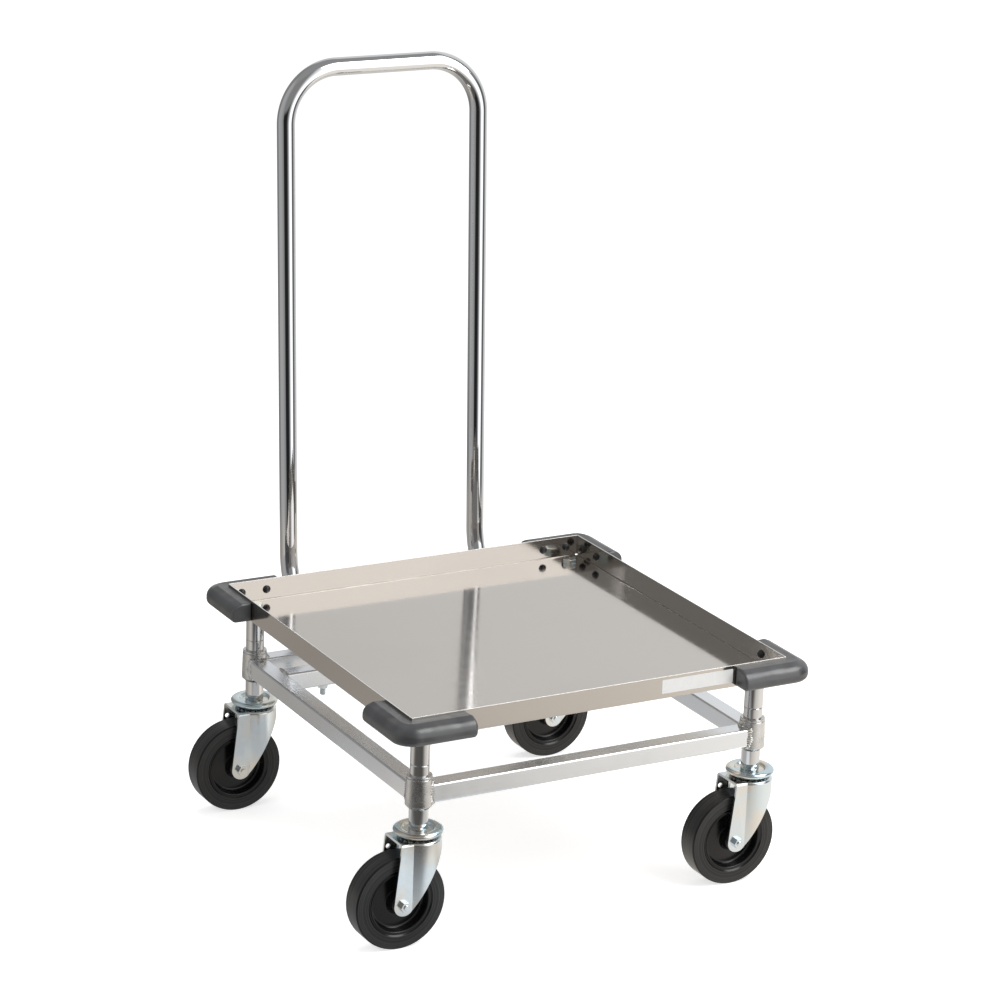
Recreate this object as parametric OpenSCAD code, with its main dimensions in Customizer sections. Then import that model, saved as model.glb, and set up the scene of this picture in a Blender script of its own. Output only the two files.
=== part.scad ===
// Dish rack dolly: a square steel tray on four posts, with a frame of square tube below it,
// rubber corner bumpers, a bent tube push handle and four swivel casters that trail to the left.
// Millimetres. +X runs along the front edge to the right, +Y to the push handle, +Z up.
// The origin is on the floor, under the middle of the whole dolly's outline.

/* [Tray] */
// Outer width and depth of the square tray
tray_size = 558; // [520:1:620]
// Height of the tray's underside above the floor
tray_height = 290; // [285:1:330]
// Depth of the tray's rim, from its underside to its cut edge
rim_depth = 31; // [29:1:45]
// Thickness of the tray's sheet
tray_sheet = 1.5; // [1:0.1:2.5]

/* [Frame] */
// Outer size of the posts, the rails and the handle tube
tube_size = 25.4; // [24:0.1:26]
// Distance from the tray's outer faces to the middle of a post
post_inset = 28.7; // [25:0.1:40]
// Height of the rails' top face above the floor
rail_top = 218.3; // [214:0.1:220]
// Distance from the middle of the rear rail to the middle of the cross member in front of it
member_spacing = 68.1; // [60:0.1:90]

/* [Bumpers] */
// How far a bumper stands out from the tray
bumper_depth = 30; // [26:0.5:40]
// Height of a bumper's section
bumper_height = 27; // [26:0.5:28]
// Length of each arm of a bumper, from the tray's corner
bumper_arm = 80; // [70:1:120]

/* [Handle] */
// Height of the handle's top above the floor
handle_height = 1025; // [850:5:1150]
// Distance between the middles of the handle's two legs
handle_width = 300; // [240:5:360]
// Distance from the tray's rear face to the middle of a leg, at the height of the rim
handle_setback = 77.8; // [76:0.1:90]
// How far the legs lean back, in degrees
handle_lean = 2.8; // [0:0.1:4]

/* [Casters] */
// Diameter of a wheel
wheel_diameter = 127; // [115:1:127]
// Width of a wheel's tread
wheel_width = 32; // [28:1:34]
// Distance that the axle trails behind the swivel
caster_trail = 30; // [28:0.5:32]

/* [Hidden] */

$fn = 64;
// Extra length that a cutting shape runs past what it cuts
past = 1;

// The four corners, as steps along X and Y
FRONT_LEFT = [-1, -1];
FRONT_RIGHT = [1, -1];
REAR_LEFT = [-1, 1];
REAR_RIGHT = [1, 1];
CORNERS = [FRONT_LEFT, FRONT_RIGHT, REAR_LEFT, REAR_RIGHT];

// Tray: outer bend radius, relief hole in each corner, gap that its rims leave at a corner
tray_half = tray_size / 2;
tray_top = tray_height + rim_depth;
tray_floor = tray_height + tray_sheet;
bend_radius = 2 * tray_sheet;
relief_radius = 2.5;
rim_gap = bend_radius + 1;

// Posts, their wall, the ring groove and the threaded plugs in their ends
tube_radius = tube_size / 2;
post_at = tray_half - post_inset;
post_wall = 2;
groove_height = 245.6;
groove_radius = 0.8;
plug_length = 30;

// Tray bolts, of 12 mm thread
tray_bolt_radius = 6;
tray_bolt_hole = 6.4;
tray_bolt_across = 18;
tray_bolt_head = 6;
tray_bolt_length = 28;

// Bumpers: section radii, and the plugs that hold them
bumper_z = tray_height + 2;
bumper_top_radius = 11;
bumper_foot_radius = 13;
plug_places = [20, 58];
plug_z = bumper_z + bumper_height / 2;
plug_shank = 4;
plug_depth = 18;
plug_head = 5.7;
plug_flange = 1;
plug_dome = 3.8;

// Rails: square tube with rounded corners
rail_wall = 1.6;
rail_corner = 2.5;
rail_z = rail_top - tube_radius;
member_y = post_at - member_spacing;

// Collars: a short cone that tapers upwards, chamfered at its foot, with a lip on top
collar_foot = 185.4;
collar_foot_radius = 13.6;
collar_wide_z = 189.9;
collar_wide_radius = 18.1;
collar_neck_z = 226.8;
collar_neck_radius = 17;
collar_lip_radius = 16.6;
collar_top = 230.8;

// Handle: foot height, bend radii, wall, and how its legs lean
foot_z = rail_top + tube_radius;
handle_wall = 1.5;
joint_swell = 0.05;
joint_length = 2;
top_bend = 76;
low_bend = 102;
foot_overhang = 11.5;
leg_half = handle_width / 2;
leg_foot_y = tray_half + handle_setback - (tray_top - foot_z) * tan(handle_lean);
low_turn = 90 - handle_lean;
low_tangent = low_bend * tan(low_turn / 2);
bend_start_y = leg_foot_y - low_tangent;
foot_end_y = member_y - tube_radius - foot_overhang;
leg_length = (handle_height - tube_radius - foot_z) / cos(handle_lean);
handle_back_y = leg_foot_y + leg_length * sin(handle_lean) + tube_radius;

// Saddle clamps over the handle's feet
clamp_sheet = 2.5;
clamp_width = 17;
clamp_hole_spacing = 55;
clamp_hole = 4.3;
clamp_y_front = member_y;
clamp_y_rear = min(post_at, bend_start_y - clamp_width / 2 - 0.3);
clamp_places = [
    [-leg_half, clamp_y_front], [leg_half, clamp_y_front],
    [-leg_half, clamp_y_rear], [leg_half, clamp_y_rear]
];

// Bolts and nuts of 8 mm thread, for the clamps and the axles
bolt_radius = 4;
bolt_clearance = 0.2;
bolt_across = 13;
bolt_head = 5.3;
nut_height = 6.5;
bolt_end = 2;
clamp_bolt_end = 10.6;

// Caster, by heights above the floor: bearing cap, fork plate and stem
wheel_radius = wheel_diameter / 2;
cap_hub_z = 164.4;
cap_bead_top = 159.5;
cap_under_z = 154.2;
cap_bead_radius = 3.9;
cap_radius = 32.7;
fork_top = 147.5;
fork_sheet = 3;
fork_under = fork_top - fork_sheet;
fork_half_width = 25;
fork_bend = 4;
tower_radius = 31;
crease_x = -sqrt(tower_radius * tower_radius - fork_half_width * fork_half_width);
boss_radius = 14;
axle_at = [-caster_trail, wheel_radius];
rear_edge_top = [-34.5, fork_top];
nose_at = [tower_radius + 3, 144.2];
tower_overlap = 0.6;
leg_overlap = 2.4;
leg_reach = 60;
ear_hole_at = [-31.3, 128.6];
ear_hole = 3.2;
stem_radius = 6;
stem_hole = 6.5;
stem_flange = 13;
stem_gap = 0.4;
ball_radius = 3.15;
ball_ring_radius = 22.5;
ball_count = 18;

// Wheel and sleeve
sleeve_radius = 6;
sleeve_bore = 4.1;
wheel_clearance = 0.08;
hub_gap = 0.4;
hub_half = fork_half_width - fork_sheet - hub_gap;
hub_radius = 14;
hub_end_radius = sleeve_radius + 2.5;
hub_end_chamfer = 2.6;
hub_foot_radius = 17;
web_half = 4;
web_hub_half = 6.5;
rim_inner = 40.5;
rim_ring = 42;
rim_groove = 45;
rim_groove_depth = 1.6;
shoulder = 3.5;

// Middle of the dolly's outline in plan, measured from the tray's middle
outline_left = -post_at - caster_trail - wheel_radius;
outline_right = tray_half + bumper_depth;
outline_front = -tray_half - bumper_depth;
middle_x = (outline_left + outline_right) / 2;
middle_y = (outline_front + handle_back_y) / 2;

// Helpers

// Moves what is drawn from the tray's middle to the part's own origin
module placed() {
    translate([-middle_x, -middle_y, 0]) children();
}

// Puts a piece on the middle of a corner's post
module at_post(corner) {
    translate([corner.x * post_at, corner.y * post_at, 0]) children();
}

// Puts a piece drawn for a corner with the tray on its +X and +Y sides on any tray corner
module at_tray_corner(corner) {
    translate([corner.x * tray_half, corner.y * tray_half, 0])
        mirror([corner.x > 0 ? 1 : 0, 0, 0])
            mirror([0, corner.y > 0 ? 1 : 0, 0])
                children();
}

// Turns what is drawn in X and Y upright, so that Y becomes height
module upright() {
    rotate([90, 0, 0]) children();
}

// A hexagonal prism by its width across flats, with one corner along X
module hexagon(across, height) {
    cylinder(r = across / sqrt(3), h = height, $fn = 6);
}

// Where a line from p touches a circle, on the left (1) or the right (-1) as seen from the circle
function touch_point(p, centre, radius, side) =
    let (away = p - centre, turn = atan2(away.y, away.x) + side * acos(radius / norm(away)))
    centre + radius * [cos(turn), sin(turn)];

// Tray

// Upright part of a rim with its bend, drawn outwards from the rim's outer face
module rim_section() {
    translate([0, bend_radius]) square([tray_sheet, rim_depth - bend_radius]);
    intersection() {
        square(bend_radius);
        translate([bend_radius, bend_radius]) difference() {
            circle(bend_radius);
            circle(bend_radius - tray_sheet);
        }
    }
}

module rim() {
    translate([tray_half - rim_gap, -tray_half, tray_height])
        rotate([90, 0, -90])
            mirror([1, 0, 0])
                linear_extrude(tray_size - 2 * rim_gap)
                    rim_section();
}

module tray() {
    flat = tray_size - 2 * bend_radius;
    color("gainsboro") difference() {
        union() {
            translate([-flat / 2, -flat / 2, tray_height]) cube([flat, flat, tray_sheet]);
            for (turn = [0 : 90 : 270]) rotate([0, 0, turn]) rim();
        }
        for (corner = CORNERS) {
            at_post(corner) translate([0, 0, tray_height - past])
                cylinder(r = tray_bolt_hole, h = tray_sheet + 2 * past);
            translate([corner.x * flat / 2, corner.y * flat / 2, tray_height - past])
                cylinder(r = relief_radius, h = tray_sheet + 2 * past);
            at_tray_corner(corner) for (place = plug_places) {
                translate([place, -past, plug_z]) rotate([-90, 0, 0])
                    cylinder(r = plug_shank, h = tray_sheet + 2 * past);
                translate([-past, place, plug_z]) rotate([0, 90, 0])
                    cylinder(r = plug_shank, h = tray_sheet + 2 * past);
            }
        }
    }
}

module tray_bolts() {
    color("silver") for (corner = CORNERS) at_post(corner) {
        translate([0, 0, tray_floor]) rotate([0, 0, 30]) hexagon(tray_bolt_across, tray_bolt_head);
        translate([0, 0, tray_floor - tray_bolt_length]) cylinder(r = tray_bolt_radius, h = tray_bolt_length);
    }
}

// Bumpers

// Section of a bumper, drawn outwards from the tray's face and upwards from its foot
module bumper_section() {
    foot_middle = bumper_depth - bumper_foot_radius;
    top_middle = bumper_depth - bumper_top_radius;
    square([foot_middle, bumper_height]);
    translate([0, bumper_height - bumper_top_radius]) square([top_middle, bumper_top_radius]);
    translate([0, bumper_foot_radius])
        square([bumper_depth, bumper_height - bumper_foot_radius - bumper_top_radius]);
    translate([foot_middle, bumper_foot_radius]) circle(bumper_foot_radius);
    translate([top_middle, bumper_height - bumper_top_radius]) circle(bumper_top_radius);
}

module bumper_plug_bore() {
    cylinder(r = plug_shank, h = plug_depth);
}

module bumper(corner) {
    color("dimgray") at_tray_corner(corner) difference() {
        translate([0, 0, bumper_z]) {
            rotate([90, 0, 90]) linear_extrude(bumper_arm) mirror([1, 0, 0]) bumper_section();
            rotate([90, 0, 180]) linear_extrude(bumper_arm) bumper_section();
            rotate([0, 0, 180]) rotate_extrude(angle = 90) bumper_section();
        }
        for (place = plug_places) {
            translate([place, 0, plug_z]) rotate([90, 0, 0]) bumper_plug_bore();
            translate([0, place, plug_z]) rotate([0, -90, 0]) bumper_plug_bore();
        }
    }
}

// A push-in plug: its shank runs through the rim into the bumper, its domed head is inside the tray
module bumper_plug() {
    dome_sphere = (plug_head * plug_head + plug_dome * plug_dome) / (2 * plug_dome);
    translate([0, 0, -plug_depth]) cylinder(r = plug_shank, h = plug_depth + tray_sheet);
    translate([0, 0, tray_sheet]) cylinder(r = plug_head, h = plug_flange);
    translate([0, 0, tray_sheet + plug_flange]) intersection() {
        cylinder(r = plug_head, h = plug_dome);
        translate([0, 0, plug_dome - dome_sphere]) sphere(dome_sphere);
    }
}

module bumper_plugs() {
    color("#202020") for (corner = CORNERS) at_tray_corner(corner) for (place = plug_places) {
        translate([place, 0, plug_z]) rotate([-90, 0, 0]) bumper_plug();
        translate([0, place, plug_z]) rotate([0, 90, 0]) bumper_plug();
    }
}

// Posts and collars

module post(corner) {
    color("silver") at_post(corner) difference() {
        translate([0, 0, cap_hub_z]) cylinder(r = tube_radius, h = tray_height - cap_hub_z);
        translate([0, 0, cap_hub_z - past])
            cylinder(r = tube_radius - post_wall, h = tray_height - cap_hub_z + 2 * past);
        translate([0, 0, groove_height]) rotate_extrude() translate([tube_radius, 0]) circle(groove_radius);
    }
}

module post_plug() {
    difference() {
        cylinder(r = tube_radius - post_wall, h = plug_length);
        translate([0, 0, -past]) cylinder(r = stem_radius, h = plug_length + 2 * past);
    }
}

module post_plugs() {
    color("gray") for (corner = CORNERS) at_post(corner) {
        translate([0, 0, cap_hub_z]) post_plug();
        translate([0, 0, tray_height - plug_length]) post_plug();
    }
}

module collar(corner) {
    lip_foot = collar_neck_z + 1;
    edge = 0.9;
    color("lightgray") at_post(corner) rotate_extrude() polygon([
        [tube_radius, collar_foot],
        [collar_foot_radius, collar_foot],
        [collar_wide_radius, collar_wide_z],
        [collar_neck_radius, collar_neck_z],
        [collar_lip_radius - edge, lip_foot - edge / 2],
        [collar_lip_radius, lip_foot],
        [collar_lip_radius, collar_top - edge],
        [collar_lip_radius - edge, collar_top],
        [tube_radius, collar_top]
    ]);
}

// Frame of square tube

module tube_section(size, corner) {
    side = size / 2 - corner;
    square([size, size - 2 * corner], center = true);
    square([size - 2 * corner, size], center = true);
    for (x = [-side, side]) for (y = [-side, side]) translate([x, y]) circle(corner);
}

// A length of square tube along X, at the rails' height
module square_tube(length) {
    translate([-length / 2, 0, rail_z]) rotate([90, 0, 90]) linear_extrude(length) difference() {
        tube_section(tube_size, rail_corner);
        tube_section(tube_size - 2 * rail_wall, rail_corner - rail_wall);
    }
}

// A rail between two collars, its ends shaped to the collars' cones
module rail() {
    difference() {
        square_tube(2 * post_at);
        for (x = [-post_at, post_at]) translate([x, 0, collar_wide_z])
            cylinder(r1 = collar_wide_radius, r2 = collar_neck_radius, h = collar_neck_z - collar_wide_z);
    }
}

module clamp_holes() {
    for (place = clamp_places) for (side = [-1, 1])
        translate([place.x + side * clamp_hole_spacing / 2, place.y, rail_z - tube_size])
            cylinder(r = clamp_hole, h = 2 * tube_size);
}

module front_rail() {
    color("lightgray") translate([0, -post_at, 0]) rail();
}

module rear_rail() {
    color("lightgray") difference() {
        translate([0, post_at, 0]) rail();
        clamp_holes();
    }
}

module side_rail(side) {
    color("lightgray") translate([side * post_at, 0, 0]) rotate([0, 0, 90]) rail();
}

module handle_cross_member() {
    color("lightgray") difference() {
        translate([0, member_y, 0]) square_tube(2 * post_at - tube_size);
        clamp_holes();
    }
}

// Handle

// Leans what is drawn upright over the handle's feet back by the handle's lean
module leaning() {
    translate([0, leg_foot_y, foot_z]) rotate([-handle_lean, 0, 0]) children();
}

// A short ring, a hair wider than the rod, over each joint of the run
module joint_ring(radius) {
    cylinder(r = radius + joint_swell, h = joint_length, center = true);
}

// A quarter bend of the handle's top, from a leg to the grip
module top_corner(radius, side) {
    translate([side * (leg_half - top_bend), 0, leg_length - top_bend])
        upright()
            rotate([0, 0, side > 0 ? 0 : 90])
                rotate_extrude(angle = 90) translate([top_bend, 0]) circle(radius);
}

// One side of the handle: foot, low bend, leg and top corner
module handle_side(radius, side, foot_past) {
    x = side * leg_half;
    translate([x, foot_end_y - foot_past, foot_z]) rotate([-90, 0, 0])
        cylinder(r = radius, h = bend_start_y - foot_end_y + foot_past);
    translate([x, bend_start_y, foot_z]) rotate([90, 0, 0]) joint_ring(radius);
    translate([x, bend_start_y, foot_z + low_bend]) rotate([90, 0, 90]) rotate([0, 0, -90])
        rotate_extrude(angle = low_turn) translate([low_bend, 0]) circle(radius);
    leaning() {
        translate([x, 0, low_tangent]) joint_ring(radius);
        translate([x, 0, low_tangent]) cylinder(r = radius, h = leg_length - top_bend - low_tangent);
        translate([x, 0, leg_length - top_bend]) joint_ring(radius);
        top_corner(radius, side);
        translate([side * (leg_half - top_bend), 0, leg_length]) rotate([0, 90, 0]) joint_ring(radius);
    }
}

// The handle's whole run as a solid rod
module handle_rod(radius, foot_past) {
    for (side = [-1, 1]) handle_side(radius, side, foot_past);
    leaning() translate([-(leg_half - top_bend), 0, leg_length]) rotate([0, 90, 0])
        cylinder(r = radius, h = 2 * (leg_half - top_bend));
}

module handle() {
    color("silver") difference() {
        handle_rod(tube_radius, 0);
        handle_rod(tube_radius - handle_wall, past);
    }
}

// A two-hole strap: an arch over the foot and a flat ear on each side
module handle_clamp(place) {
    outer = tube_radius + clamp_sheet;
    ear = clamp_hole_spacing / 2;
    color("silver") translate([place.x, place.y, 0]) difference() {
        intersection() {
            upright() linear_extrude(clamp_width, center = true) difference() {
                union() {
                    translate([0, foot_z]) circle(outer);
                    translate([-outer, rail_top]) square([2 * outer, tube_radius]);
                    translate([-ear - clamp_width, rail_top]) square([2 * (ear + clamp_width), clamp_sheet]);
                }
                translate([0, foot_z]) circle(tube_radius);
                translate([-tube_radius, rail_top - past]) square([tube_size, tube_radius + past]);
                translate([-tube_size, rail_top - tube_size]) square([2 * tube_size, tube_size]);
            }
            translate([0, 0, rail_top - past]) linear_extrude(2 * tube_size) {
                square([2 * ear, clamp_width], center = true);
                for (side = [-1, 1]) translate([side * ear, 0]) circle(clamp_width / 2);
            }
        }
        for (side = [-1, 1]) translate([side * ear, 0, rail_top - past])
            cylinder(r = clamp_hole, h = clamp_sheet + 2 * past);
    }
}

module clamp_bolt() {
    shank = tube_size + clamp_sheet + nut_height + clamp_bolt_end;
    translate([0, 0, rail_top + clamp_sheet]) hexagon(bolt_across, bolt_head);
    translate([0, 0, rail_top + clamp_sheet - shank]) cylinder(r = bolt_radius, h = shank);
}

// A nut, standing on its foot face
module nut() {
    difference() {
        hexagon(bolt_across, nut_height);
        translate([0, 0, -past]) cylinder(r = bolt_radius, h = nut_height + 2 * past);
    }
}

module at_clamp_bolts() {
    for (place = clamp_places) for (side = [-1, 1])
        translate([place.x + side * clamp_hole_spacing / 2, place.y, 0]) children();
}

module clamp_bolts() {
    color("silver") at_clamp_bolts() clamp_bolt();
}

module clamp_nuts() {
    color("silver") at_clamp_bolts() translate([0, 0, rail_top - tube_size - nut_height]) nut();
}

// Casters

// Pressed bearing cap: a round bead round its rim, a ring groove and a raised hub under the post
module cap(corner) {
    bead_middle = cap_radius - cap_bead_radius;
    color("#cfd8dc") at_post(corner) rotate_extrude() difference() {
        union() {
            translate([bead_middle, cap_bead_top - cap_bead_radius]) circle(cap_bead_radius);
            polygon([
                [stem_radius, cap_under_z],
                [bead_middle, cap_under_z],
                [bead_middle, cap_bead_top],
                [21.8, cap_bead_top],
                [19.8, 157.3],
                [17.6, 157.3],
                [14.6, 163.4],
                [13.8, cap_hub_z],
                [stem_radius, cap_hub_z]
            ]);
        }
        square([bead_middle - 2.2, cap_under_z]);
    }
}

// Stem: a rod in the post's plug, with a flange that carries the fork from below
module caster_stems() {
    flange_top = fork_under - stem_gap;
    flange_foot = flange_top - 5;
    color("gray") for (corner = CORNERS) at_post(corner) {
        translate([0, 0, flange_top - past])
            cylinder(r = stem_radius, h = cap_hub_z + plug_length - flange_top + past);
        translate([0, 0, flange_foot]) cylinder(r1 = stem_flange - 2, r2 = stem_flange, h = 2);
        translate([0, 0, flange_foot + 2]) cylinder(r = stem_flange, h = 3);
    }
}

// Half section of the fork's tower: plate and wall, with a rounded shoulder
module tower_section() {
    inner_bend = fork_bend - fork_sheet;
    difference() {
        union() {
            square([tower_radius, fork_top - fork_bend]);
            square([tower_radius - fork_bend, fork_top]);
            translate([tower_radius - fork_bend, fork_top - fork_bend]) circle(fork_bend);
        }
        square([tower_radius - fork_sheet, fork_under - inner_bend]);
        square([tower_radius - fork_bend, fork_under]);
        translate([tower_radius - fork_bend, fork_top - fork_bend]) circle(inner_bend);
    }
}

// Section of the fork's two legs and the plate between them, seen along X
module leg_section() {
    inner_bend = fork_bend - fork_sheet;
    side = fork_half_width - fork_bend;
    difference() {
        union() {
            translate([-fork_half_width, 0]) square([2 * fork_half_width, fork_top - fork_bend]);
            translate([-side, 0]) square([2 * side, fork_top]);
            for (y = [-side, side]) translate([y, fork_top - fork_bend]) circle(fork_bend);
        }
        translate([-fork_half_width + fork_sheet, 0])
            square([2 * (fork_half_width - fork_sheet), fork_under - inner_bend]);
        translate([-side, 0]) square([2 * side, fork_under]);
        for (y = [-side, side]) translate([y, fork_top - fork_bend]) circle(inner_bend);
    }
}

// Outline of the fork from the side: round boss at the axle, slanted rear edge, straight cut in front
module fork_outline() {
    rear_touch = touch_point(rear_edge_top, axle_at, boss_radius, 1);
    front_touch = touch_point(nose_at, axle_at, boss_radius, -1);
    translate(axle_at) circle(boss_radius);
    polygon([
        rear_edge_top,
        rear_touch,
        axle_at,
        front_touch,
        nose_at,
        [nose_at.x, fork_top + past],
        [rear_edge_top.x, fork_top + past]
    ]);
}

// Pressed fork: two flat legs and a plate, closed in front by a round tower that is cut on a slant
module fork(corner) {
    color("#d5dde0") at_post(corner) difference() {
        intersection() {
            union() {
                translate([crease_x - leg_reach, 0, 0]) rotate([90, 0, 90])
                    linear_extrude(leg_reach + leg_overlap) leg_section();
                intersection() {
                    rotate_extrude() tower_section();
                    translate([crease_x - tower_overlap, -2 * tower_radius, 0])
                        cube([4 * tower_radius, 4 * tower_radius, 2 * fork_top]);
                }
            }
            upright() linear_extrude(4 * tower_radius, center = true) fork_outline();
        }
        cylinder(r = stem_hole, h = 2 * fork_top);
        translate([axle_at.x, 0, axle_at.y]) upright()
            cylinder(r = bolt_radius + bolt_clearance, h = 4 * tower_radius, center = true);
        translate([ear_hole_at.x, 2 * tower_radius, ear_hole_at.y]) upright()
            cylinder(r = ear_hole, h = 2 * tower_radius);
    }
}

module balls(corner) {
    color("silver") at_post(corner) for (i = [0 : ball_count - 1])
        rotate([0, 0, i * 360 / ball_count])
            translate([ball_ring_radius, 0, fork_top + ball_radius])
                sphere(ball_radius);
}

// Puts a piece drawn along Z on a caster's axle, with Z pointing to the front
module on_axle(corner) {
    at_post(corner) translate([axle_at.x, 0, axle_at.y]) upright() children();
}

module axle_bolt(corner) {
    shank = 2 * fork_half_width + nut_height + bolt_end;
    color("silver") on_axle(corner) {
        translate([0, 0, -fork_half_width - bolt_head]) hexagon(bolt_across, bolt_head);
        translate([0, 0, -fork_half_width]) cylinder(r = bolt_radius, h = shank);
    }
}

module axle_nut(corner) {
    color("silver") on_axle(corner) translate([0, 0, fork_half_width]) nut();
}

module sleeve(corner) {
    half = fork_half_width - fork_sheet;
    color("gray") on_axle(corner) difference() {
        cylinder(r = sleeve_radius, h = 2 * half, center = true);
        cylinder(r = sleeve_bore, h = 2 * half + 2 * past, center = true);
    }
}

// Section of the wheel's hub, web and rim: radius across, width upwards from its middle plane
function wheel_half_points(bore, half) = [
    [bore, hub_half],
    [hub_end_radius, hub_half],
    [hub_radius, hub_half - hub_end_chamfer],
    [hub_foot_radius, web_hub_half],
    [rim_inner - 3.5, web_half],
    [rim_inner - 0.8, web_half + 2],
    [rim_inner, half - 0.7],
    [rim_inner + 0.7, half],
    [rim_ring, half],
    [rim_ring + 0.6, half - rim_groove_depth],
    [rim_groove - 0.6, half - rim_groove_depth],
    [rim_groove, half],
    [wheel_radius - shoulder, half]
];

// Hub, web and rim of the wheel in section
module wheel_core_section() {
    points = wheel_half_points(sleeve_radius + wheel_clearance, wheel_width / 2);
    last = len(points) - 1;
    polygon(concat(points, [for (i = [last : -1 : 0]) [points[i].x, -points[i].y]]));
}

// The tread in section, with its two rounded shoulders
module tread_section() {
    middle = wheel_width / 2 - shoulder;
    inner = rim_groove + 2;
    translate([inner, -middle]) square([wheel_radius - inner, 2 * middle]);
    for (side = [-1, 1]) translate([wheel_radius - shoulder, side * middle]) circle(shoulder);
}

module wheel(corner) {
    color("#2c2c2c") on_axle(corner) {
        rotate_extrude() wheel_core_section();
        rotate_extrude() tread_section();
    }
}

placed() tray();
placed() tray_bolts();
placed() bumper(FRONT_LEFT);  // front_left_bumper
placed() bumper(FRONT_RIGHT);  // front_right_bumper
placed() bumper(REAR_LEFT);  // rear_left_bumper
placed() bumper(REAR_RIGHT);  // rear_right_bumper
placed() bumper_plugs();
placed() post(FRONT_LEFT);  // front_left_post
placed() post(FRONT_RIGHT);  // front_right_post
placed() post(REAR_LEFT);  // rear_left_post
placed() post(REAR_RIGHT);  // rear_right_post
placed() post_plugs();
placed() collar(FRONT_LEFT);  // front_left_collar
placed() collar(FRONT_RIGHT);  // front_right_collar
placed() collar(REAR_LEFT);  // rear_left_collar
placed() collar(REAR_RIGHT);  // rear_right_collar
placed() front_rail();
placed() rear_rail();
placed() side_rail(-1);  // left_rail
placed() side_rail(1);  // right_rail
placed() handle_cross_member();
placed() handle();
placed() handle_clamp(clamp_places[0]);  // handle_clamp_left_front
placed() handle_clamp(clamp_places[1]);  // handle_clamp_right_front
placed() handle_clamp(clamp_places[2]);  // handle_clamp_left_rear
placed() handle_clamp(clamp_places[3]);  // handle_clamp_right_rear
placed() clamp_bolts();
placed() clamp_nuts();
placed() cap(FRONT_LEFT);  // front_left_cap
placed() cap(FRONT_RIGHT);  // front_right_cap
placed() cap(REAR_LEFT);  // rear_left_cap
placed() cap(REAR_RIGHT);  // rear_right_cap
placed() caster_stems();
placed() fork(FRONT_LEFT);  // front_left_fork
placed() fork(FRONT_RIGHT);  // front_right_fork
placed() fork(REAR_LEFT);  // rear_left_fork
placed() fork(REAR_RIGHT);  // rear_right_fork
placed() balls(FRONT_LEFT);  // front_left_balls
placed() balls(FRONT_RIGHT);  // front_right_balls
placed() balls(REAR_LEFT);  // rear_left_balls
placed() balls(REAR_RIGHT);  // rear_right_balls
placed() axle_bolt(FRONT_LEFT);  // front_left_axle_bolt
placed() axle_bolt(FRONT_RIGHT);  // front_right_axle_bolt
placed() axle_bolt(REAR_LEFT);  // rear_left_axle_bolt
placed() axle_bolt(REAR_RIGHT);  // rear_right_axle_bolt
placed() axle_nut(FRONT_LEFT);  // front_left_axle_nut
placed() axle_nut(FRONT_RIGHT);  // front_right_axle_nut
placed() axle_nut(REAR_LEFT);  // rear_left_axle_nut
placed() axle_nut(REAR_RIGHT);  // rear_right_axle_nut
placed() sleeve(FRONT_LEFT);  // front_left_sleeve
placed() sleeve(FRONT_RIGHT);  // front_right_sleeve
placed() sleeve(REAR_LEFT);  // rear_left_sleeve
placed() sleeve(REAR_RIGHT);  // rear_right_sleeve
placed() wheel(FRONT_LEFT);  // front_left_wheel
placed() wheel(FRONT_RIGHT);  // front_right_wheel
placed() wheel(REAR_LEFT);  // rear_left_wheel
placed() wheel(REAR_RIGHT);  // rear_right_wheel
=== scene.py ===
"""Dish rack dolly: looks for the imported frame, laid out as a Blender add-on and run as a script.

Each piece is drawn in millimetres in the frame's own axes (+X right, +Y to the handle, +Z up),
with its place in its mesh, and scaled to metres when it is finished.
"""

import math

import bmesh
import bpy
from bpy.props import FloatProperty, FloatVectorProperty, PointerProperty
from mathutils import Matrix, Vector


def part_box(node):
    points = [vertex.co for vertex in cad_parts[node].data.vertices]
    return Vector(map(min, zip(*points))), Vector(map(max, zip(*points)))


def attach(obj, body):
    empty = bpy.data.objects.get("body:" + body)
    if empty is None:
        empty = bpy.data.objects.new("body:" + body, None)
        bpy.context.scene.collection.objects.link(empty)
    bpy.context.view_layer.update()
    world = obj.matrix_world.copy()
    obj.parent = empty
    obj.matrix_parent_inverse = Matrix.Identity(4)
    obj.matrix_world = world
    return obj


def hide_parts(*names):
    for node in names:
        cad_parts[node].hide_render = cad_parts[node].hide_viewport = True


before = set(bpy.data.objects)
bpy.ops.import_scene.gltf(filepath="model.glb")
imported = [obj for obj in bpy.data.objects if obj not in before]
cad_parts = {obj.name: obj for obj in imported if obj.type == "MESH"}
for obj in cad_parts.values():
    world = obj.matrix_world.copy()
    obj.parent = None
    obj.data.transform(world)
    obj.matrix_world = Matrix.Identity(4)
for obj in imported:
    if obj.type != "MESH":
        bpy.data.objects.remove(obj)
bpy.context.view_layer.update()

bl_info = {
    "name": "Dish Rack Dolly",
    "version": (1, 0, 0),
    "blender": (4, 5, 0),
    "location": "View3D > Sidebar > Dolly",
    "description": "Dresses the frame of a dish rack dolly with finished pieces and materials",
    "category": "Object",
}

MM = 0.001
TURN_STEPS = 96
SMALL_TURN_STEPS = 32
# Distance in millimetres within which drawn points count as one place
SAME_PLACE = 0.01

# Places of the dolly's main parts, in millimetres, read from the frame
CORNERS = ("front_left", "front_right", "rear_left", "rear_right")


def node_box(node):
    """Lowest and highest corner of a node in millimetres."""
    low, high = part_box(node)
    return low / MM, high / MM


def node_middle(node):
    """Middle of a node's box in millimetres."""
    low, high = node_box(node)
    return (low + high) / 2


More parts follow.
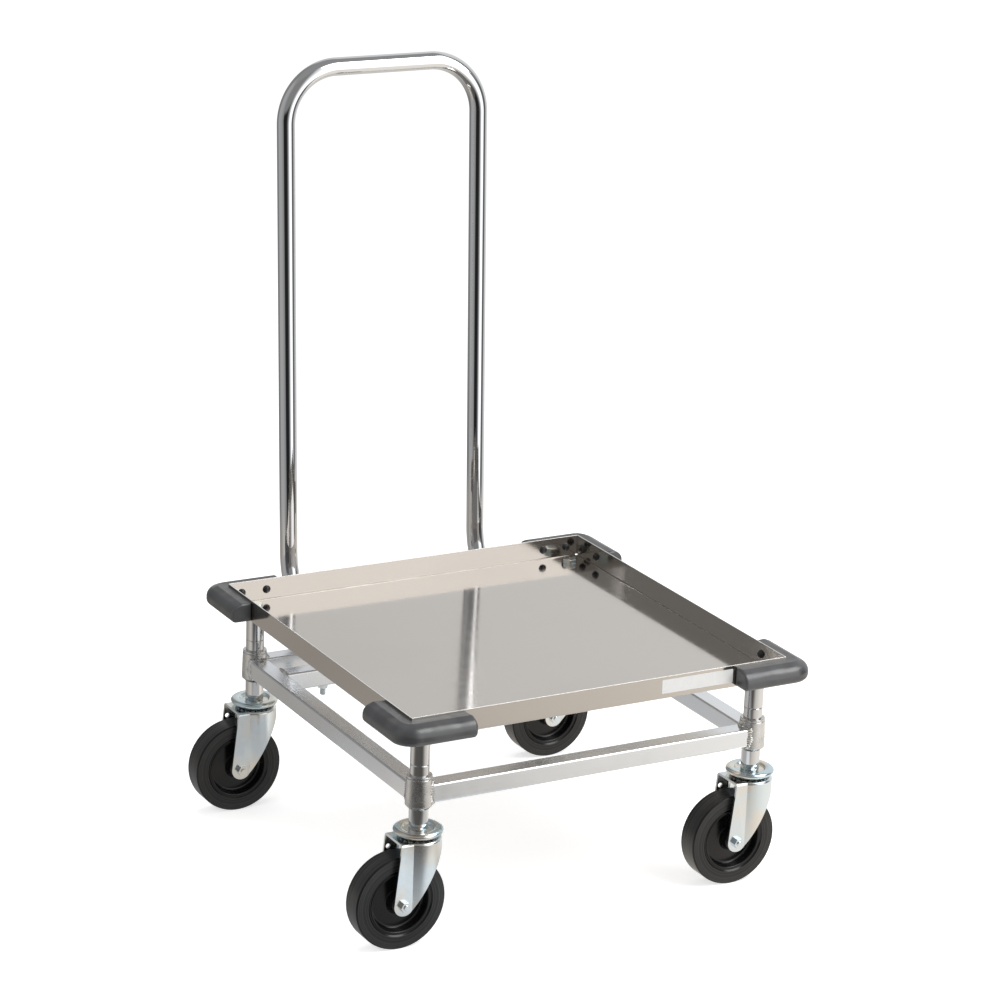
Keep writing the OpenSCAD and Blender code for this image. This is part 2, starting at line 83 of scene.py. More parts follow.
TRAY_LOW, TRAY_HIGH = node_box("tray")
TRAY_MIDDLE = (TRAY_LOW + TRAY_HIGH) / 2
TRAY_HALF = (TRAY_HIGH.x - TRAY_LOW.x) / 2
POST_AT = {corner: node_middle(corner + "_post") for corner in CORNERS}
AXLE_AT = {corner: node_middle(corner + "_wheel") for corner in CORNERS}
TUBE = 25.4
TUBE_RADIUS = TUBE / 2
RAIL_TOP = node_box("front_rail")[1].z
RAIL_MIDDLE_Z = RAIL_TOP - TUBE_RADIUS
MEMBER_Y = node_middle("handle_cross_member").y


def side_signs(corner):
    """-1 or 1 along X and Y for a corner."""
    x = -1 if corner.endswith("left") else 1
    y = -1 if corner.startswith("front") else 1
    return x, y


# Sizes and colours that a user would change

def length_property(name, description, default):
    return FloatProperty(name=name, description=description, default=default * MM,
                         min=0.0, subtype="DISTANCE", unit="LENGTH", precision=5)


def colour_property(name, description, default):
    return FloatVectorProperty(name=name, description=description, default=default,
                               size=3, min=0.0, max=1.0, subtype="COLOR")


class DollySizes(bpy.types.PropertyGroup):
    sheet: length_property("Tray sheet", "Thickness of the tray's sheet", 1.5)
    tray_bend: length_property("Tray bend", "Outer radius of the tray's bends", 2.3)
    bumper_edge: length_property("Bumper edge", "Rounding at the ends of a bumper's arms", 4.0)
    weld_bead: length_property("Weld bead", "Radius of the weld beads round the rails", 2.5)
    fork_edge: length_property("Fork edge", "Rounding of the fork's cut edges", 0.5)


class DollyColours(bpy.types.PropertyGroup):
    stainless: colour_property("Stainless", "Rolled stainless sheet of the tray", (0.62, 0.59, 0.555))
    chrome: colour_property("Chrome", "Chrome plate of the handle and posts", (0.70, 0.705, 0.715))
    zinc: colour_property("Zinc", "Bright zinc plate of the rails", (0.82, 0.845, 0.875))
    blue_zinc: colour_property("Blue zinc", "Blue zinc plate of the casters", (0.72, 0.79, 0.83))
    warm_zinc: colour_property("Warm zinc", "Yellowish patches of the zinc plate", (0.79, 0.765, 0.715))
    casting: colour_property("Casting", "Plated casting of the collars", (0.67, 0.67, 0.665))
    bumper: colour_property("Bumper", "Moulded rubber of the bumpers", (0.040, 0.041, 0.043))
    wheel: colour_property("Wheel", "Hard rubber of the wheels", (0.028, 0.028, 0.0285))
    plug: colour_property("Plug", "Black plastic of the bumper plugs", (0.012, 0.012, 0.013))
    label: colour_property("Label", "Blank film on the tray's front", (0.74, 0.735, 0.72))
    steel: colour_property("Steel", "Plain steel of the hidden parts", (0.45, 0.45, 0.46))


def sizes():
    return bpy.context.scene.dolly_sizes


def colours():
    return bpy.context.scene.dolly_colours


# Shader node groups

def new_group(name, inputs, outputs):
    """An empty shader group with named sockets. Inputs are (kind, name, default)."""
    group = bpy.data.node_groups.new(name, "ShaderNodeTree")
    for kind, title, default in inputs:
        socket = group.interface.new_socket(name=title, in_out="INPUT", socket_type="NodeSocket" + kind)
        if default is not None:
            socket.default_value = default
    for kind, title in outputs:
        group.interface.new_socket(name=title, in_out="OUTPUT", socket_type="NodeSocket" + kind)
    return group, group.nodes.new("NodeGroupInput"), group.nodes.new("NodeGroupOutput")


def add_node(tree, kind, **settings):
    node = tree.nodes.new("ShaderNode" + kind)
    for name, value in settings.items():
        setattr(node, name, value)
    return node


def feed(tree, value, socket):
    """Gives an input a fixed value, or links another node's output to it."""
    if isinstance(value, bpy.types.NodeSocket):
        tree.links.new(value, socket)
    else:
        socket.default_value = value


def math_node(tree, operation, first, second=None):
    """A Math node fed by sockets or numbers. Gives its output socket."""
    node = add_node(tree, "Math", operation=operation)
    feed(tree, first, node.inputs[0])
    if second is not None:
        feed(tree, second, node.inputs[1])
    return node.outputs[0]


def vector_math(tree, operation, first, second=None):
    """A Vector Math node fed by sockets or vectors. Gives its output socket."""
    node = add_node(tree, "VectorMath", operation=operation)
    feed(tree, first, node.inputs[0])
    if second is not None:
        feed(tree, second, node.inputs["Scale"] if operation == "SCALE" else node.inputs[1])
    return node.outputs["Value" if operation in ("LENGTH", "DISTANCE") else "Vector"]


def apart(tree, vector):
    """The X, Y and Z of a vector."""
    node = add_node(tree, "SeparateXYZ")
    tree.links.new(vector, node.inputs[0])
    return node.outputs


def together(tree, x, y):
    """A vector of an X and a Y."""
    node = add_node(tree, "CombineXYZ")
    tree.links.new(x, node.inputs["X"])
    tree.links.new(y, node.inputs["Y"])
    return node.outputs[0]


def spread(tree, value, low, high, to_low=0.0, to_high=1.0):
    """Spreads a socket's values from one range to another, clamped."""
    node = add_node(tree, "MapRange", clamp=True, interpolation_type="SMOOTHSTEP")
    for title, given in (("Value", value), ("From Min", low), ("From Max", high),
                         ("To Min", to_low), ("To Max", to_high)):
        feed(tree, given, node.inputs[title])
    return node.outputs["Result"]


def mixed_colour(tree, factor, first, second):
    """The first colour where the factor is 0 and the second where it is 1."""
    node = add_node(tree, "Mix", data_type="RGBA")
    for i, given in ((0, factor), (6, first), (7, second)):
        feed(tree, given, node.inputs[i])
    return node.outputs[2]


def mixed_shader(tree, factor, first, second):
    """The first shader where the factor is 0 and the second where it is 1."""
    node = add_node(tree, "MixShader")
    for i, given in enumerate((factor, first, second)):
        tree.links.new(given, node.inputs[i])
    return node.outputs[0]


def noise(tree, vector, scale, detail):
    """A noise value over a vector."""
    node = add_node(tree, "TexNoise")
    node.inputs["Detail"].default_value = detail
    tree.links.new(vector, node.inputs["Vector"])
    feed(tree, scale, node.inputs["Scale"])
    return node.outputs["Fac"]


# Noise values between which a surface goes from one tint, or one roughness, to the other
PLATE_PATCHES = (0.42, 0.68)
PLATE_DULLING = (0.36, 0.66)
MOULD_PATCHES = (0.4, 0.75)
MOULD_DULLING = (0.35, 0.7)
HANDLING_MARKS_SCALE = 55.0


def plated_metal_group():
    """Plated or rolled metal: patches of two tints, drawn grain and faint handling marks."""
    group, inside, outside = new_group(
        "Plated metal",
        [
            ("Vector", "Vector", None),
            ("Color", "Tint", (0.7, 0.7, 0.7, 1)),
            ("Color", "Patch Tint", (0.7, 0.7, 0.7, 1)),
            ("Float", "Patch Scale", 20.0),
            ("Vector", "Grain Scale", (50.0, 50.0, 50.0)),
            ("Float", "Smooth", 0.05),
            ("Float", "Dull", 0.15),
        ],
        [("Color", "Color"), ("Float", "Roughness"), ("Float", "Grain")],
    )
    vector = inside.outputs["Vector"]
    patches = noise(group, vector, inside.outputs["Patch Scale"], 3.0)
    colour = mixed_colour(group, spread(group, patches, *PLATE_PATCHES),
                          inside.outputs["Tint"], inside.outputs["Patch Tint"])
    grain = noise(group, vector_math(group, "MULTIPLY", vector, inside.outputs["Grain Scale"]), 1.0, 4.0)
    marks = noise(group, vector, HANDLING_MARKS_SCALE, 5.0)
    dulling = math_node(group, "ADD", math_node(group, "MULTIPLY", grain, 0.5),
                        math_node(group, "MULTIPLY", marks, 0.5))
    roughness = spread(group, dulling, *PLATE_DULLING, inside.outputs["Smooth"], inside.outputs["Dull"])
    for title, given in (("Color", colour), ("Roughness", roughness), ("Grain", grain)):
        group.links.new(given, outside.inputs[title])
    return group


def moulded_group():
    """Moulded rubber or plastic: pores, a slow change of tone, and rubbed places."""
    group, inside, outside = new_group(
        "Moulded surface",
        [
            ("Vector", "Vector", None),
            ("Color", "Tint", (0.05, 0.05, 0.05, 1)),
            ("Color", "Rubbed Tint", (0.08, 0.08, 0.08, 1)),
            ("Float", "Patch Scale", 15.0),
            ("Float", "Pore Scale", 900.0),
            ("Float", "Smooth", 0.3),
            ("Float", "Dull", 0.5),
        ],
        [("Color", "Color"), ("Float", "Roughness"), ("Float", "Height")],
    )
    patches = noise(group, inside.outputs["Vector"], inside.outputs["Patch Scale"], 4.0)
    pores = noise(group, inside.outputs["Vector"], inside.outputs["Pore Scale"], 2.0)
    colour = mixed_colour(group, spread(group, patches, *MOULD_PATCHES),
                          inside.outputs["Tint"], inside.outputs["Rubbed Tint"])
    roughness = spread(group, patches, *MOULD_DULLING, inside.outputs["Smooth"], inside.outputs["Dull"])
    for title, given in (("Color", colour), ("Roughness", roughness), ("Height", pores)):
        group.links.new(given, outside.inputs[title])
    return group


# Brightness of the studio by degrees round from the photographer to the right. The walls are what
# the handle mirrors, the floor is the dim ground about a metre out that the posts and rims mirror.
STUDIO_WALLS = (
    (-180, 0.78), (-172, 0.68), (-163, 0.70), (-153, 0.26), (-112, 0.24), (-98, 0.48), (-62, 0.46),
    (-40, 0.34), (-30, 0.26), (-25, 0.02), (9, 0.02), (19, 0.10), (30, 0.40), (40, 0.95), (50, 1.70),
    (73, 1.70), (80, 0.15), (104, 0.15), (114, 0.60), (126, 0.85), (172, 0.86), (180, 0.78),
)
STUDIO_FLOOR = (
    (-180, 0.75), (-150, 0.50), (-110, 0.38), (-98, 0.42), (-80, 0.60), (-66, 0.70), (-54, 0.50),
    (-44, 0.20), (-34, 0.12), (12, 0.10), (18, 0.17), (25, 0.33), (34, 0.60), (42, 0.75), (50, 0.82),
    (60, 0.93), (70, 1.02), (80, 1.08), (110, 1.05), (140, 0.90), (180, 0.75),
)
STUDIO_PEAK = 1.8
CEILING = 0.34
CEILING_FROM = (math.radians(42), math.radians(60))
SKY_LEAST = 0.28
SKY_FROM = (math.radians(3), math.radians(12))
WARM_FLOOR = (1.0, 0.945, 0.875)
CAMERA_AZIMUTH = math.radians(-29.11)
CAMERA_ELEVATION = math.radians(17.63)
CAMERA_ROLL = math.radians(2.0)


def brightness_round(tree, turns, levels):
    """A ramp of brightness over a whole turn, from (degrees, brightness) pairs."""
    ramp = add_node(tree, "ValToRGB")
    stops = ramp.color_ramp.elements
    while len(stops) > 1:
        stops.remove(stops[-1])
    for i, (degrees, brightness) in enumerate(levels):
        place = (degrees + 180) / 360
        stop = stops[0] if i == 0 else stops.new(place)
        stop.position = place
        level = brightness / STUDIO_PEAK
        stop.color = (level, level, level, 1)
    tree.links.new(turns, ramp.inputs["Fac"])
    return math_node(tree, "MULTIPLY", ramp.outputs["Color"], STUDIO_PEAK)


def studio_group():
    """What polished metal sees of the room: a white sweep behind, one tall soft box, grey walls.

    Ground is 1 for the dim floor about a metre out and 0 for the walls.
    """
    group, inside, outside = new_group(
        "Studio room", [("Vector", "Direction", None), ("Float", "Ground", 0.0)], [("Color", "Color")])
    direction = apart(group, inside.outputs["Direction"])
    around = math_node(group, "ARCTAN2", direction["Y"], direction["X"])
    photographer = CAMERA_AZIMUTH - math.pi / 2
    turned_by = math_node(group, "SUBTRACT", around, photographer)
    whole_turns = math_node(group, "DIVIDE", turned_by, 2 * math.pi)
    turns = math_node(group, "FRACT", math_node(group, "ADD", whole_turns, 1.5))
    wall = brightness_round(group, turns, STUDIO_WALLS)
    height = math_node(group, "ARCSINE", direction["Z"])
    towards_ceiling = spread(group, height, *CEILING_FROM)
    towards_sky = spread(group, height, *SKY_FROM)
    lifted = math_node(group, "MAXIMUM", wall, math_node(group, "MULTIPLY", towards_sky, SKY_LEAST))
    above = spread(group, towards_ceiling, 0.0, 1.0, lifted, CEILING)
    ground = brightness_round(group, turns, STUDIO_FLOOR)
    brightness = spread(group, inside.outputs["Ground"], 0.0, 1.0, above, ground)
    tint = mixed_colour(group, inside.outputs["Ground"], (1.0, 1.0, 1.0, 1), rgba(WARM_FLOOR))
    group.links.new(vector_math(group, "SCALE", tint, brightness), outside.inputs["Color"])
    return group


GROUP_MAKERS = {
    "Plated metal": plated_metal_group,
    "Moulded surface": moulded_group,
    "Studio room": studio_group,
}


def group_named(name):
    return bpy.data.node_groups.get(name) or GROUP_MAKERS[name]()


def use_group(tree, name, **values):
    """Places a group in a tree with its own values, and gives the node."""
    node = add_node(tree, "Group")
    node.node_tree = group_named(name)
    for title, value in values.items():
        node.inputs[title.replace("_", " ")].default_value = value
    return node


# Materials

FINISH = "finish_"


def rgba(colour):
    return (*colour, 1.0)


def new_material(name):
    """A material with a Principled BSDF. Gives the material, its tree and the shader."""
    material = bpy.data.materials.new(FINISH + name)
    material.use_nodes = True
    tree = material.node_tree
    return material, tree, tree.nodes["Principled BSDF"]


def surface_vector(tree, attribute=None):
    """Object coordinates, or a vector kept on the mesh."""
    if attribute:
        return add_node(tree, "Attribute", attribute_name=attribute).outputs["Vector"]
    return add_node(tree, "TexCoord").outputs["Object"]


def bump(tree, shader, height, strength, distance, after=None):
    """Relief from a height, its distance in millimetres, over another where given. Gives the normal."""
    node = add_node(tree, "Bump")
    node.inputs["Strength"].default_value = strength
    node.inputs["Distance"].default_value = distance * MM
    tree.links.new(height, node.inputs["Height"])
    if after is not None:
        tree.links.new(after, node.inputs["Normal"])
    tree.links.new(node.outputs["Normal"], shader.inputs["Normal"])
    return node.outputs["Normal"]


def metal(name, tint, patch_tint, smooth, dull, grain, patch_scale=20.0, relief=(0.05, 0.05)):
    """A plated or rolled metal."""
    material, tree, shader = new_material(name)
    finish = use_group(tree, "Plated metal", Tint=rgba(tint), Patch_Tint=rgba(patch_tint),
                       Patch_Scale=patch_scale, Grain_Scale=grain, Smooth=smooth, Dull=dull)
    tree.links.new(surface_vector(tree), finish.inputs["Vector"])
    shader.inputs["Metallic"].default_value = 1.0
    tree.links.new(finish.outputs["Color"], shader.inputs["Base Color"])
    tree.links.new(finish.outputs["Roughness"], shader.inputs["Roughness"])
    bump(tree, shader, finish.outputs["Grain"], *relief)
    return material


def moulded(name, tint, rubbed, smooth, dull, patch_scale, pore_scale, relief, attribute=None):
    """A moulded rubber or plastic. Gives the material, its tree, shader, finish node and normal."""
    material, tree, shader = new_material(name)
    finish = use_group(tree, "Moulded surface", Tint=rgba(tint), Rubbed_Tint=rgba(rubbed),
                       Patch_Scale=patch_scale, Pore_Scale=pore_scale, Smooth=smooth, Dull=dull)
    tree.links.new(surface_vector(tree, attribute), finish.inputs["Vector"])
    tree.links.new(finish.outputs["Color"], shader.inputs["Base Color"])
    tree.links.new(finish.outputs["Roughness"], shader.inputs["Roughness"])
    normal = bump(tree, shader, finish.outputs["Height"], *relief)
    return material, tree, shader, finish, normal


def lighter(colour, factor):
    return tuple(min(1.0, channel * factor) for channel in colour)


def stainless_sheet():
    """Rolled stainless with a fine grain along X and a near-mirror finish."""
    tint = colours().stainless
    return metal("stainless_sheet", tint, lighter(tint, 0.98),
                 smooth=0.08, dull=0.13, grain=(14.0, 2200.0, 2200.0), patch_scale=5.0, relief=(0.03, 0.012))


def cut_edge_highlight():
    """The tray's sheared edge, brighter than its faces: its near-white tint is a painted highlight along the
    rims.
    """
    return metal("cut_edge_highlight", (1.0, 1.0, 0.99), (0.92, 0.92, 0.9),
                 smooth=0.18, dull=0.32, grain=(900.0, 900.0, 900.0), relief=(0.1, 0.05))


def inner_bend():
    """The crease along the inside of the tray's bends: rougher, and with a dark tint that is painted shade in
    the fold.
    """
    return metal("inner_bend", (0.34, 0.31, 0.28), (0.28, 0.255, 0.23),
                 smooth=0.26, dull=0.36, grain=(14.0, 2200.0, 2200.0), relief=(0.05, 0.02))


def chrome_plate():
    tint = colours().chrome
    return metal("chrome_plate", tint, lighter(tint, 0.98),
                 smooth=0.03, dull=0.07, grain=(300.0, 300.0, 300.0), patch_scale=4.0, relief=(0.02, 0.02))


def bright_zinc(name="zinc_along_x", grain=(5.0, 700.0, 700.0)):
    """Drawn tube with bright zinc: fine lines along its length that scatter its reflections."""
    tint = colours().zinc
    return metal(name, tint, lighter(tint, 0.96),
                 smooth=0.17, dull=0.27, grain=grain, patch_scale=9.0, relief=(0.10, 0.02))


def bright_zinc_along_y():
    return bright_zinc("zinc_along_y", (700.0, 5.0, 700.0))


def blue_zinc():
    """Blue passivated zinc on pressed steel: soft mirror, faint yellow clouds."""
    return metal("blue_zinc", colours().blue_zinc, colours().warm_zinc,
                 smooth=0.15, dull=0.24, grain=(140.0, 140.0, 140.0), patch_scale=24.0, relief=(0.05, 0.04))


def cap_zinc():
    """The caps' brighter passivation: bluer, with peach clouds."""
    return metal("cap_zinc", (0.60, 0.735, 0.79), (0.82, 0.76, 0.66),
                 smooth=0.12, dull=0.22, grain=(140.0, 140.0, 140.0), patch_scale=42.0, relief=(0.05, 0.04))


def cast_collar():
    tint = colours().casting
    return metal("cast_collar", tint, lighter(tint, 0.85),
                 smooth=0.17, dull=0.33, grain=(420.0, 420.0, 420.0), patch_scale=60.0, relief=(0.5, 0.25))


def weld_metal():
    return metal("weld_metal", (0.74, 0.74, 0.73), (0.55, 0.54, 0.52),
                 smooth=0.12, dull=0.26, grain=(500.0, 500.0, 500.0), patch_scale=150.0, relief=(0.4, 0.3))


def plain_steel():
    tint = colours().steel
    return metal("plain_steel", tint, lighter(tint, 0.8),
                 smooth=0.25, dull=0.4, grain=(300.0, 300.0, 300.0), relief=(0.2, 0.1))


BUMPER_IOR = 1.75
BUMPER_WAVE_SCALE = 30.0
BUMPER_WAVE_HEIGHT = 2.6


def bumper_rubber():
    """Dressed moulded rubber with a satin shine, slightly wavy, paler where it has been rubbed."""
    tint = colours().bumper
    material, tree, shader, _, pores = moulded(
        "bumper_rubber", tint, lighter(tint, 1.45), smooth=0.28, dull=0.42,
        patch_scale=30.0, pore_scale=1400.0, relief=(0.2, 0.04))
    shader.inputs["IOR"].default_value = BUMPER_IOR
    waves = noise(tree, surface_vector(tree), BUMPER_WAVE_SCALE, 1.0)
    bump(tree, shader, waves, 1.0, BUMPER_WAVE_HEIGHT, after=pores)
    return material


# The wheel's looks by radius and by distance from its middle plane, in millimetres
RIM_FROM = (45.6, 46.4)
SHOULDER_OUT = (60.8, 62.0)
SHOULDER_ASIDE = (13.0, 14.2)
# The web's tint is black rubber darkened further with painted shade in the recess.
WEB_BLACK_AND_SHADE = (0.004, 0.004, 0.004)
RING_BLACK = (0.008, 0.008, 0.008)
# Near-black tint on the tread's rounded shoulders: painted shade.
SHOULDER_SHADE = (0.002, 0.002, 0.002)
RING_SCALE = 420.0
RING_EDGES = (0.38, 0.62)
RING_RELIEF = (0.25, 0.12)
WEB_ROUGHNESS = 0.23
WHEEL_IOR = 1.45


def beyond(tree, value, limits):
    """0 up to the first of two lengths in millimetres and 1 from the second on."""
    return spread(tree, value, limits[0] * MM, limits[1] * MM)


def wheel_rubber():
    """Hard rubber: glossy webs, black with painted shade in their recess, satin rims and treads with turned
    lines, and painted shade on the shoulders.
    """
    tint = colours().wheel
    material, tree, shader, finish, pores = moulded(
        "wheel_rubber", tint, lighter(tint, 1.5), smooth=0.32, dull=0.46,
        patch_scale=26.0, pore_scale=1100.0, relief=(0.12, 0.04), attribute="local")
    shader.inputs["IOR"].default_value = WHEEL_IOR
    place = apart(tree, surface_vector(tree, "local"))
    radius = vector_math(tree, "LENGTH", together(tree, place["X"], place["Z"]))
    rings = noise(tree, together(tree, radius, place["Y"]), RING_SCALE, 3.0)
    bump(tree, shader, rings, *RING_RELIEF, after=pores)
    on_rim = beyond(tree, radius, RIM_FROM)
    turned_marks = mixed_colour(tree, spread(tree, rings, *RING_EDGES), rgba(RING_BLACK),
                                finish.outputs["Color"])
    # Inside the rim the web takes its darker tint, black rubber with painted shade.
    colour = mixed_colour(tree, on_rim, rgba(WEB_BLACK_AND_SHADE), turned_marks)
    aside = math_node(tree, "ABSOLUTE", place["Y"])
    # Painted shade: the shoulders go near-black past these radii and distances.
    shoulder = math_node(tree, "MULTIPLY", beyond(tree, aside, SHOULDER_ASIDE),
                         beyond(tree, radius, SHOULDER_OUT))
    colour = mixed_colour(tree, shoulder, colour, rgba(SHOULDER_SHADE))
    roughness = spread(tree, on_rim, 0.0, 1.0, WEB_ROUGHNESS, finish.outputs["Roughness"])
    tree.links.new(colour, shader.inputs["Base Color"])
    tree.links.new(roughness, shader.inputs["Roughness"])
    return material


def plug_plastic():
    tint = colours().plug
    return moulded("plug_plastic", tint, lighter(tint, 1.8), smooth=0.28, dull=0.42,
                   patch_scale=60.0, pore_scale=1500.0, relief=(0.1, 0.04))[0]


LABEL_COAT = 0.3
LABEL_COAT_ROUGHNESS = 0.12


def label_film():
    tint = colours().label
    material, _, shader, _, _ = moulded(
        "label_film", tint, lighter(tint, 0.96), smooth=0.25, dull=0.35,
        patch_scale=40.0, pore_scale=900.0, relief=(0.05, 0.02))
    shader.inputs["Coat Weight"].default_value = LABEL_COAT
    shader.inputs["Coat Roughness"].default_value = LABEL_COAT_ROUGHNESS
    return material


MATERIAL_MAKERS = {
    "stainless_sheet": stainless_sheet,
    "cut_edge_highlight": cut_edge_highlight,
    "inner_bend": inner_bend,
    "chrome_plate": chrome_plate,
    "zinc_along_x": bright_zinc,
    "zinc_along_y": bright_zinc_along_y,
    "blue_zinc": blue_zinc,
    "cap_zinc": cap_zinc,
    "cast_collar": cast_collar,
    "weld_metal": weld_metal,
    "plain_steel": plain_steel,
    "bumper_rubber": bumper_rubber,
    "wheel_rubber": wheel_rubber,
    "plug_plastic": plug_plastic,
    "label_film": label_film,
}


def finish_named(name):
    return bpy.data.materials.get(FINISH + name) or MATERIAL_MAKERS[name]()


# Drawing helpers. A mesh is drawn in millimetres.

def rounded_profile(corners, steps=4):
    """Points of a line whose corners, each (radius out, height, rounding), are rounded."""
    points = []
    for i, (across, along, rounding) in enumerate(corners):
        here = Vector((across, along))
        if rounding == 0 or i in (0, len(corners) - 1):
            points.append(here)
            continue
        back = (Vector(corners[i - 1][:2]) - here).normalized()
        ahead = (Vector(corners[i + 1][:2]) - here).normalized()
        half = back.angle(ahead) / 2
        reach = rounding / math.tan(half)
        centre = here + (back + ahead).normalized() * (rounding / math.sin(half))
        start = here + back * reach - centre
        turn = start.angle_signed(here + ahead * reach - centre)
        for step in range(steps + 1):
            points.append(centre + Matrix.Rotation(-turn * step / steps, 2) @ start)
    return points


def turned(points, closed=False, steps=TURN_STEPS):
    """A drawing of a line of (radius, height) points spun about Z."""
    bm = bmesh.new()
    verts = [bm.verts.new((across, 0, along)) for across, along in points]
    edges = [bm.edges.new(pair) for pair in zip(verts, verts[1:])]
    if closed:
        edges.append(bm.edges.new((verts[-1], verts[0])))
    bmesh.ops.spin(bm, geom=verts + edges, cent=(0, 0, 0), axis=(0, 0, 1),
                   angle=2 * math.pi, steps=steps, use_merge=True)
    return bm


def put(bm, part, matrix=Matrix()):
    """Adds a part's drawing to another at its place, and frees it."""
    bmesh.ops.transform(part, matrix=matrix, verts=part.verts)
    carrier = bpy.data.meshes.new("carrier")
    part.to_mesh(carrier)
    part.free()
    bm.from_mesh(carrier)
    bpy.data.meshes.remove(carrier)


def drop(bm, at):
    """Moves an upright drawing to a place on the ground."""
    bmesh.ops.translate(bm, vec=(at.x, at.y, 0), verts=bm.verts)
    return bm


def end_edges(geom):
    """The edges of a swept shape's open end."""
    return [e for e in geom if isinstance(e, bmesh.types.BMEdge) and len(e.link_faces) < 2]


def verts_of(edges):
    """The vertices of some edges, each once and in the same order at every run."""
    return list(dict.fromkeys(v for e in edges for v in e.verts))


def run_straight(bm, ring, move):
    """Carries an open end along a straight line. Gives the new open end."""
    grown = bmesh.ops.extrude_edge_only(bm, edges=ring)["geom"]
    bmesh.ops.translate(bm, vec=move, verts=[v for v in grown if isinstance(v, bmesh.types.BMVert)])
    return end_edges(grown)


def run_bend(bm, ring, centre, axis, angle, steps):
    """Carries an open end round a bend. Gives the new open end."""
    made = bmesh.ops.spin(bm, geom=verts_of(ring) + ring, cent=centre, axis=axis, angle=angle, steps=steps)
    return end_edges(made["geom_last"])


def block(bm, low, high):
    """A box between two corners. Gives its vertices."""
    low, high = Vector(low), Vector(high)
    verts = bmesh.ops.create_cube(bm, size=1)["verts"]
    bmesh.ops.scale(bm, vec=high - low, verts=verts)
    bmesh.ops.translate(bm, vec=(low + high) / 2, verts=verts)
    return verts


def edges_along(verts, axis):
    """The edges among some vertices that run along an axis."""
    edges = dict.fromkeys(e for v in verts for e in v.link_edges)
    return [e for e in edges if abs((e.verts[0].co - e.verts[1].co).normalized()[axis]) > 0.999]


def round_off(bm, geom, offset, segments, affect="EDGES"):
    bmesh.ops.bevel(bm, geom=geom, offset=offset, segments=segments, profile=0.5, affect=affect,
                    material=-1, offset_type="OFFSET", clamp_overlap=True)


def moved(bm, verts, matrix):
    bmesh.ops.transform(bm, matrix=matrix, verts=verts)


def shift(vector):
    return Matrix.Translation(vector)


def quarter_turn(quarters):
    """A turn about Z by whole quarters."""
    return Matrix.Rotation(quarters * math.pi / 2, 4, "Z")


FACE_FRONT = Matrix.Rotation(math.pi / 2, 4, "X")
FACE_BACK = Matrix.Rotation(-math.pi / 2, 4, "X")
MERGE_WITHIN = 0.002
SLIVER = 0.0005
BEVEL_FROM = math.radians(30)
FLATS_WEIGHT = 80


def finish_piece(name, bm, finishes, body, nodes=(), sharp=30, middle=None, metres=False,
                 edge_bevel=None, recalculate=True):
    """Turns a drawing into a piece on a body: closed seams, faces outwards, smooth shading, finish.

    Edges steeper than sharp, in degrees, stay sharp. With a middle, the mesh keeps each vertex's
    place from there. A drawing in metres keeps its size and seams.
    """
    if not metres:
        bmesh.ops.remove_doubles(bm, verts=bm.verts, dist=MERGE_WITHIN)
        bmesh.ops.dissolve_degenerate(bm, edges=bm.edges, dist=SLIVER)
    if recalculate:
        bmesh.ops.recalc_face_normals(bm, faces=bm.faces)
    if not metres:
        bmesh.ops.scale(bm, vec=(MM, MM, MM), verts=bm.verts)
    mesh = bpy.data.meshes.new(name)
    bm.to_mesh(mesh)
    bm.free()
    mesh.shade_smooth()
    mesh.set_sharp_from_angle(angle=math.radians(sharp))
    if middle is not None:
        kept = mesh.attributes.new("local", "FLOAT_VECTOR", "POINT")
        for vertex, value in zip(mesh.vertices, kept.data):
            value.vector = vertex.co - Vector(middle) * MM
    piece = bpy.data.objects.new(name, mesh)
    bpy.context.scene.collection.objects.link(piece)
    for finish in finishes:
        mesh.materials.append(finish_named(finish))
    if edge_bevel:
        bevel = piece.modifiers.new("Edges", "BEVEL")
        bevel.width = edge_bevel * MM
        bevel.segments = 2
        bevel.limit_method = "ANGLE"
        bevel.angle_limit = BEVEL_FROM
        bevel.harden_normals = True
    else:
        flats = piece.modifiers.new("Flats", "WEIGHTED_NORMAL")
        flats.weight = FLATS_WEIGHT
        flats.keep_sharp = True
    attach(piece, body)
    if nodes:
        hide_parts(*nodes)
    return piece


# Tray

TRAY_NOTCH = 4.0
TRAY_GAP = 0.5
FOLD_STEPS = 6
TRAY_FINISHES = ("stainless_sheet", "cut_edge_highlight", "inner_bend")
LABEL_X = (105.0, 213.5)
LABEL_UP = (7.5, 26.5)
LABEL_PROUD = 0.15
LABEL_SUNK = 0.2
LABEL_CORNER = 1.5


def draw_rim(flap, reach):
    """One side of the tray: a strip folded up at its edge, wider above the notches at its ends."""
    bm = bmesh.new()
    edge = bm.edges.new([bm.verts.new((-flap, -flap, 0)), bm.verts.new((flap, -flap, 0))])
    fold = run_straight(bm, [edge], (0, -TRAY_NOTCH, 0))
    lift = run_straight(bm, fold, (0, 0, TRAY_NOTCH))
    top = run_straight(bm, lift, (0, 0, TRAY_HIGH.z - TRAY_LOW.z - TRAY_NOTCH))
    upright_ends = [e for e in top[0].link_faces[0].edges if abs(e.verts[0].co.z - e.verts[1].co.z) > 1]
    for end in upright_ends:
        side = 1 if end.verts[0].co.x > 0 else -1
        run_straight(bm, [end], (side * reach, 0, 0))
    round_off(bm, fold, sizes().tray_bend / MM, FOLD_STEPS)
    return bm


